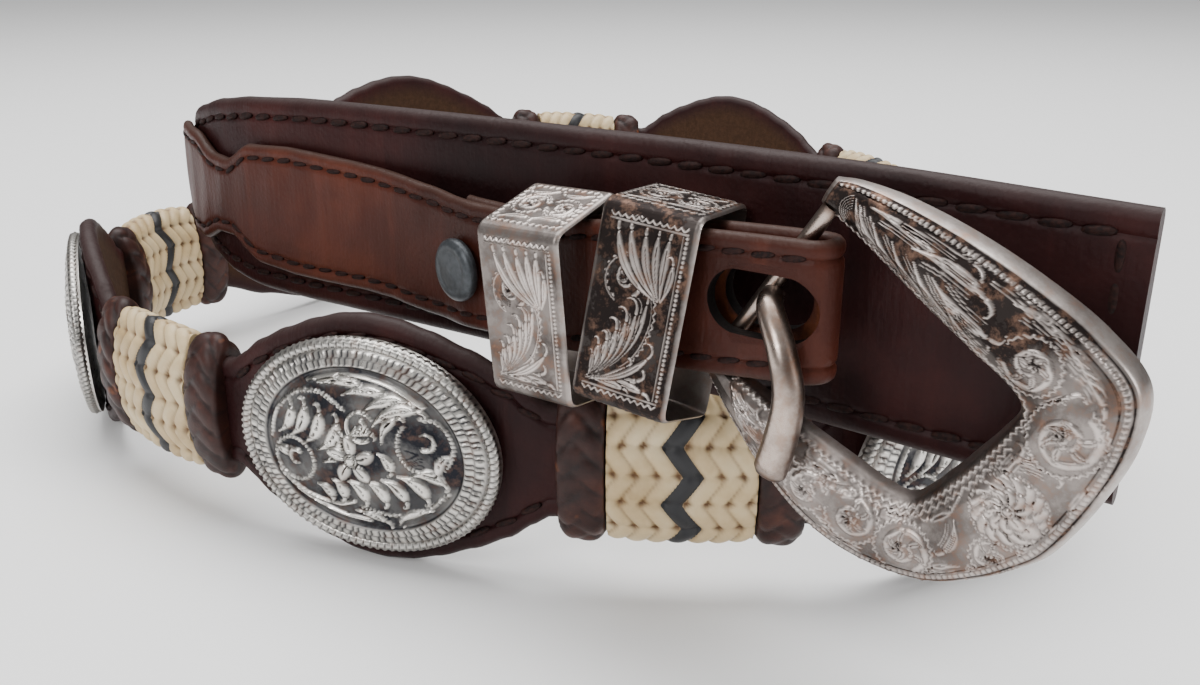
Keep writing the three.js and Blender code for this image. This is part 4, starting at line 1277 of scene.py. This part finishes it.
# a rod or prong swept along points, with its half sizes across and out against the share of its length
def sweepRod(name, points, halfAcross, halfOut, around, along):
    piece, column, row = addGrid(name, around, along)
    t = row / along
    heading = unit(smoothRows(points, t, True))
    sideways = unit(np.cross(heading, -endAway))
    outward = np.cross(sideways, heading)
    angle = tau * column / around
    x, y = np.cos(angle) * linesAt(halfAcross, t), np.sin(angle) * linesAt(halfOut, t)
    placeMesh(piece, smoothRows(points, t) + x[:, None] * sideways + y[:, None] * outward)
    # painted shade: the rod's sides are darker than its middle; the last few hundredths of its length, the
    # cut tip, are darker too
    shade = 0.16 + 0.75 * np.clip(np.abs(np.cos(angle)) - 0.3, 0, 1) ** 1.3
    mark(piece, "patinaAndShade", np.clip(shade + 0.6 * np.clip((t - 0.965) / 0.03, 0, 1), 0, 1))
    closeShell(piece, 70)
    return piece


def addBar():
    spots = np.array([-buckle["barHalf"], -5.0, 5.0, buckle["barHalf"]])
    even = ((0, buckle["barRadius"]), (1, buckle["barRadius"]))
    points = onBuckle(spots, 0 * spots, buckle["barHeight"] + 0 * spots)
    piece = sweepRod("buckleBar", points, even, even, 16, 30)
    finishPiece(piece, plainSilver, "buckle", "engraved_silver")


addBar()
tongue = {
    "knots": ((42.0, 11.2, 54.6), (40.6, 14.6, 53.9), (37.6, 17.0, 49.6), (36.2, 17.6, 44.4),
              (36.9, 17.6, 38.8), (38.4, 17.4, 33.4)),
    "halfAcross": ((0, 1.6), (0.25, 1.7), (0.8, 2.15), (0.97, 2.2), (1.0, 1.7)),
    "halfOut": ((0, 1.5), (0.3, 1.8), (0.75, 2.0), (0.93, 1.9), (1.0, 0.9)),
}


def addTongue():
    points = onEnd(*np.array(tongue["knots"]).T)
    piece = sweepRod("tongue", points, tongue["halfAcross"], tongue["halfOut"], 32, 120)
    finishPiece(piece, plainSilver, "tongue", "engraved_silver", "tongue")


addTongue()
print("buckle made")

# camera, floor and light, in metres
studio = {
    "sensor": 36.0, "clip": 0.01,
    "floor": {"size": 8.0, "centre": (0, 2.0, 0), "colour": (0.92, 0.92, 0.92, 1), "roughness": 0.7},
    "sky": ((0.05, (0.05, 0.05, 0.055, 1)), (0.75, (1.0, 1.0, 1.0, 1))),
    "skyStrength": 0.6,
    # where each lamp is, where it points, its width and height, and its watts
    "lamps": {
        "topLight": ((0.0, 0.15, 0.95), (0, 0, 0.03), 1.1, 0.8, 17),
        "frontLeft": ((-0.6, -0.75, 0.6), (0, 0, 0.04), 0.4, 0.4, 5),
        "frontRight": ((0.75, -0.6, 0.35), (0.04, -0.06, 0.04), 0.25, 0.5, 3),
    },
}
bpy.ops.object.camera_add(location=tuple((np.array([0, 0, photo["cameraHeight"]]) + shift) / 1000),
                          rotation=(radians(90 - photo["pitchDown"]), 0, 0))
camera = bpy.context.active_object
camera.data.sensor_width = studio["sensor"]
camera.data.lens = studio["sensor"] * photo["focalPixels"] / photo["width"]
camera.data.clip_start = studio["clip"]
bpy.context.scene.camera = camera


def addFloor(size, centre, colour, roughness):
    bpy.ops.mesh.primitive_plane_add(size=size, location=centre)
    floor = bpy.context.active_object
    floor.name = "floor"
    material, place = newMaterial("pale floor")
    floor.data.materials.append(surface(material, {"Base Color": colour, "Roughness": roughness}))


# the sky grows lighter with height
def addSky():
    world = bpy.data.worlds.new("studio")
    bpy.context.scene.world = world
    world.use_nodes = True
    sky, links = world.node_tree.nodes, world.node_tree.links
    direction = sky.new("ShaderNodeTexCoord")
    split = sky.new("ShaderNodeSeparateXYZ")
    shade = sky.new("ShaderNodeValToRGB")
    links.new(direction.outputs["Generated"], split.inputs[0])
    links.new(split.outputs["Z"], shade.inputs["Fac"])
    links.new(shade.outputs["Color"], sky["Background"].inputs["Color"])
    for element, (at, colour) in zip(shade.color_ramp.elements, studio["sky"]):
        element.position = at
        element.color = colour
    sky["Background"].inputs["Strength"].default_value = studio["skyStrength"]


def addLamp(name, location, target, width, height, watts):
    bpy.ops.object.light_add(type="AREA", location=location)
    lamp = bpy.context.active_object
    lamp.name = name
    lamp.data.shape = "RECTANGLE"
    lamp.data.size = width
    lamp.data.size_y = height
    lamp.data.energy = watts
    lamp.rotation_euler = (Vector(target) - Vector(location)).to_track_quat("-Z", "Y").to_euler()


addFloor(**studio["floor"])
addSky()
for name, lamp in studio["lamps"].items():
    addLamp(name, *lamp)
print("camera and lights made")
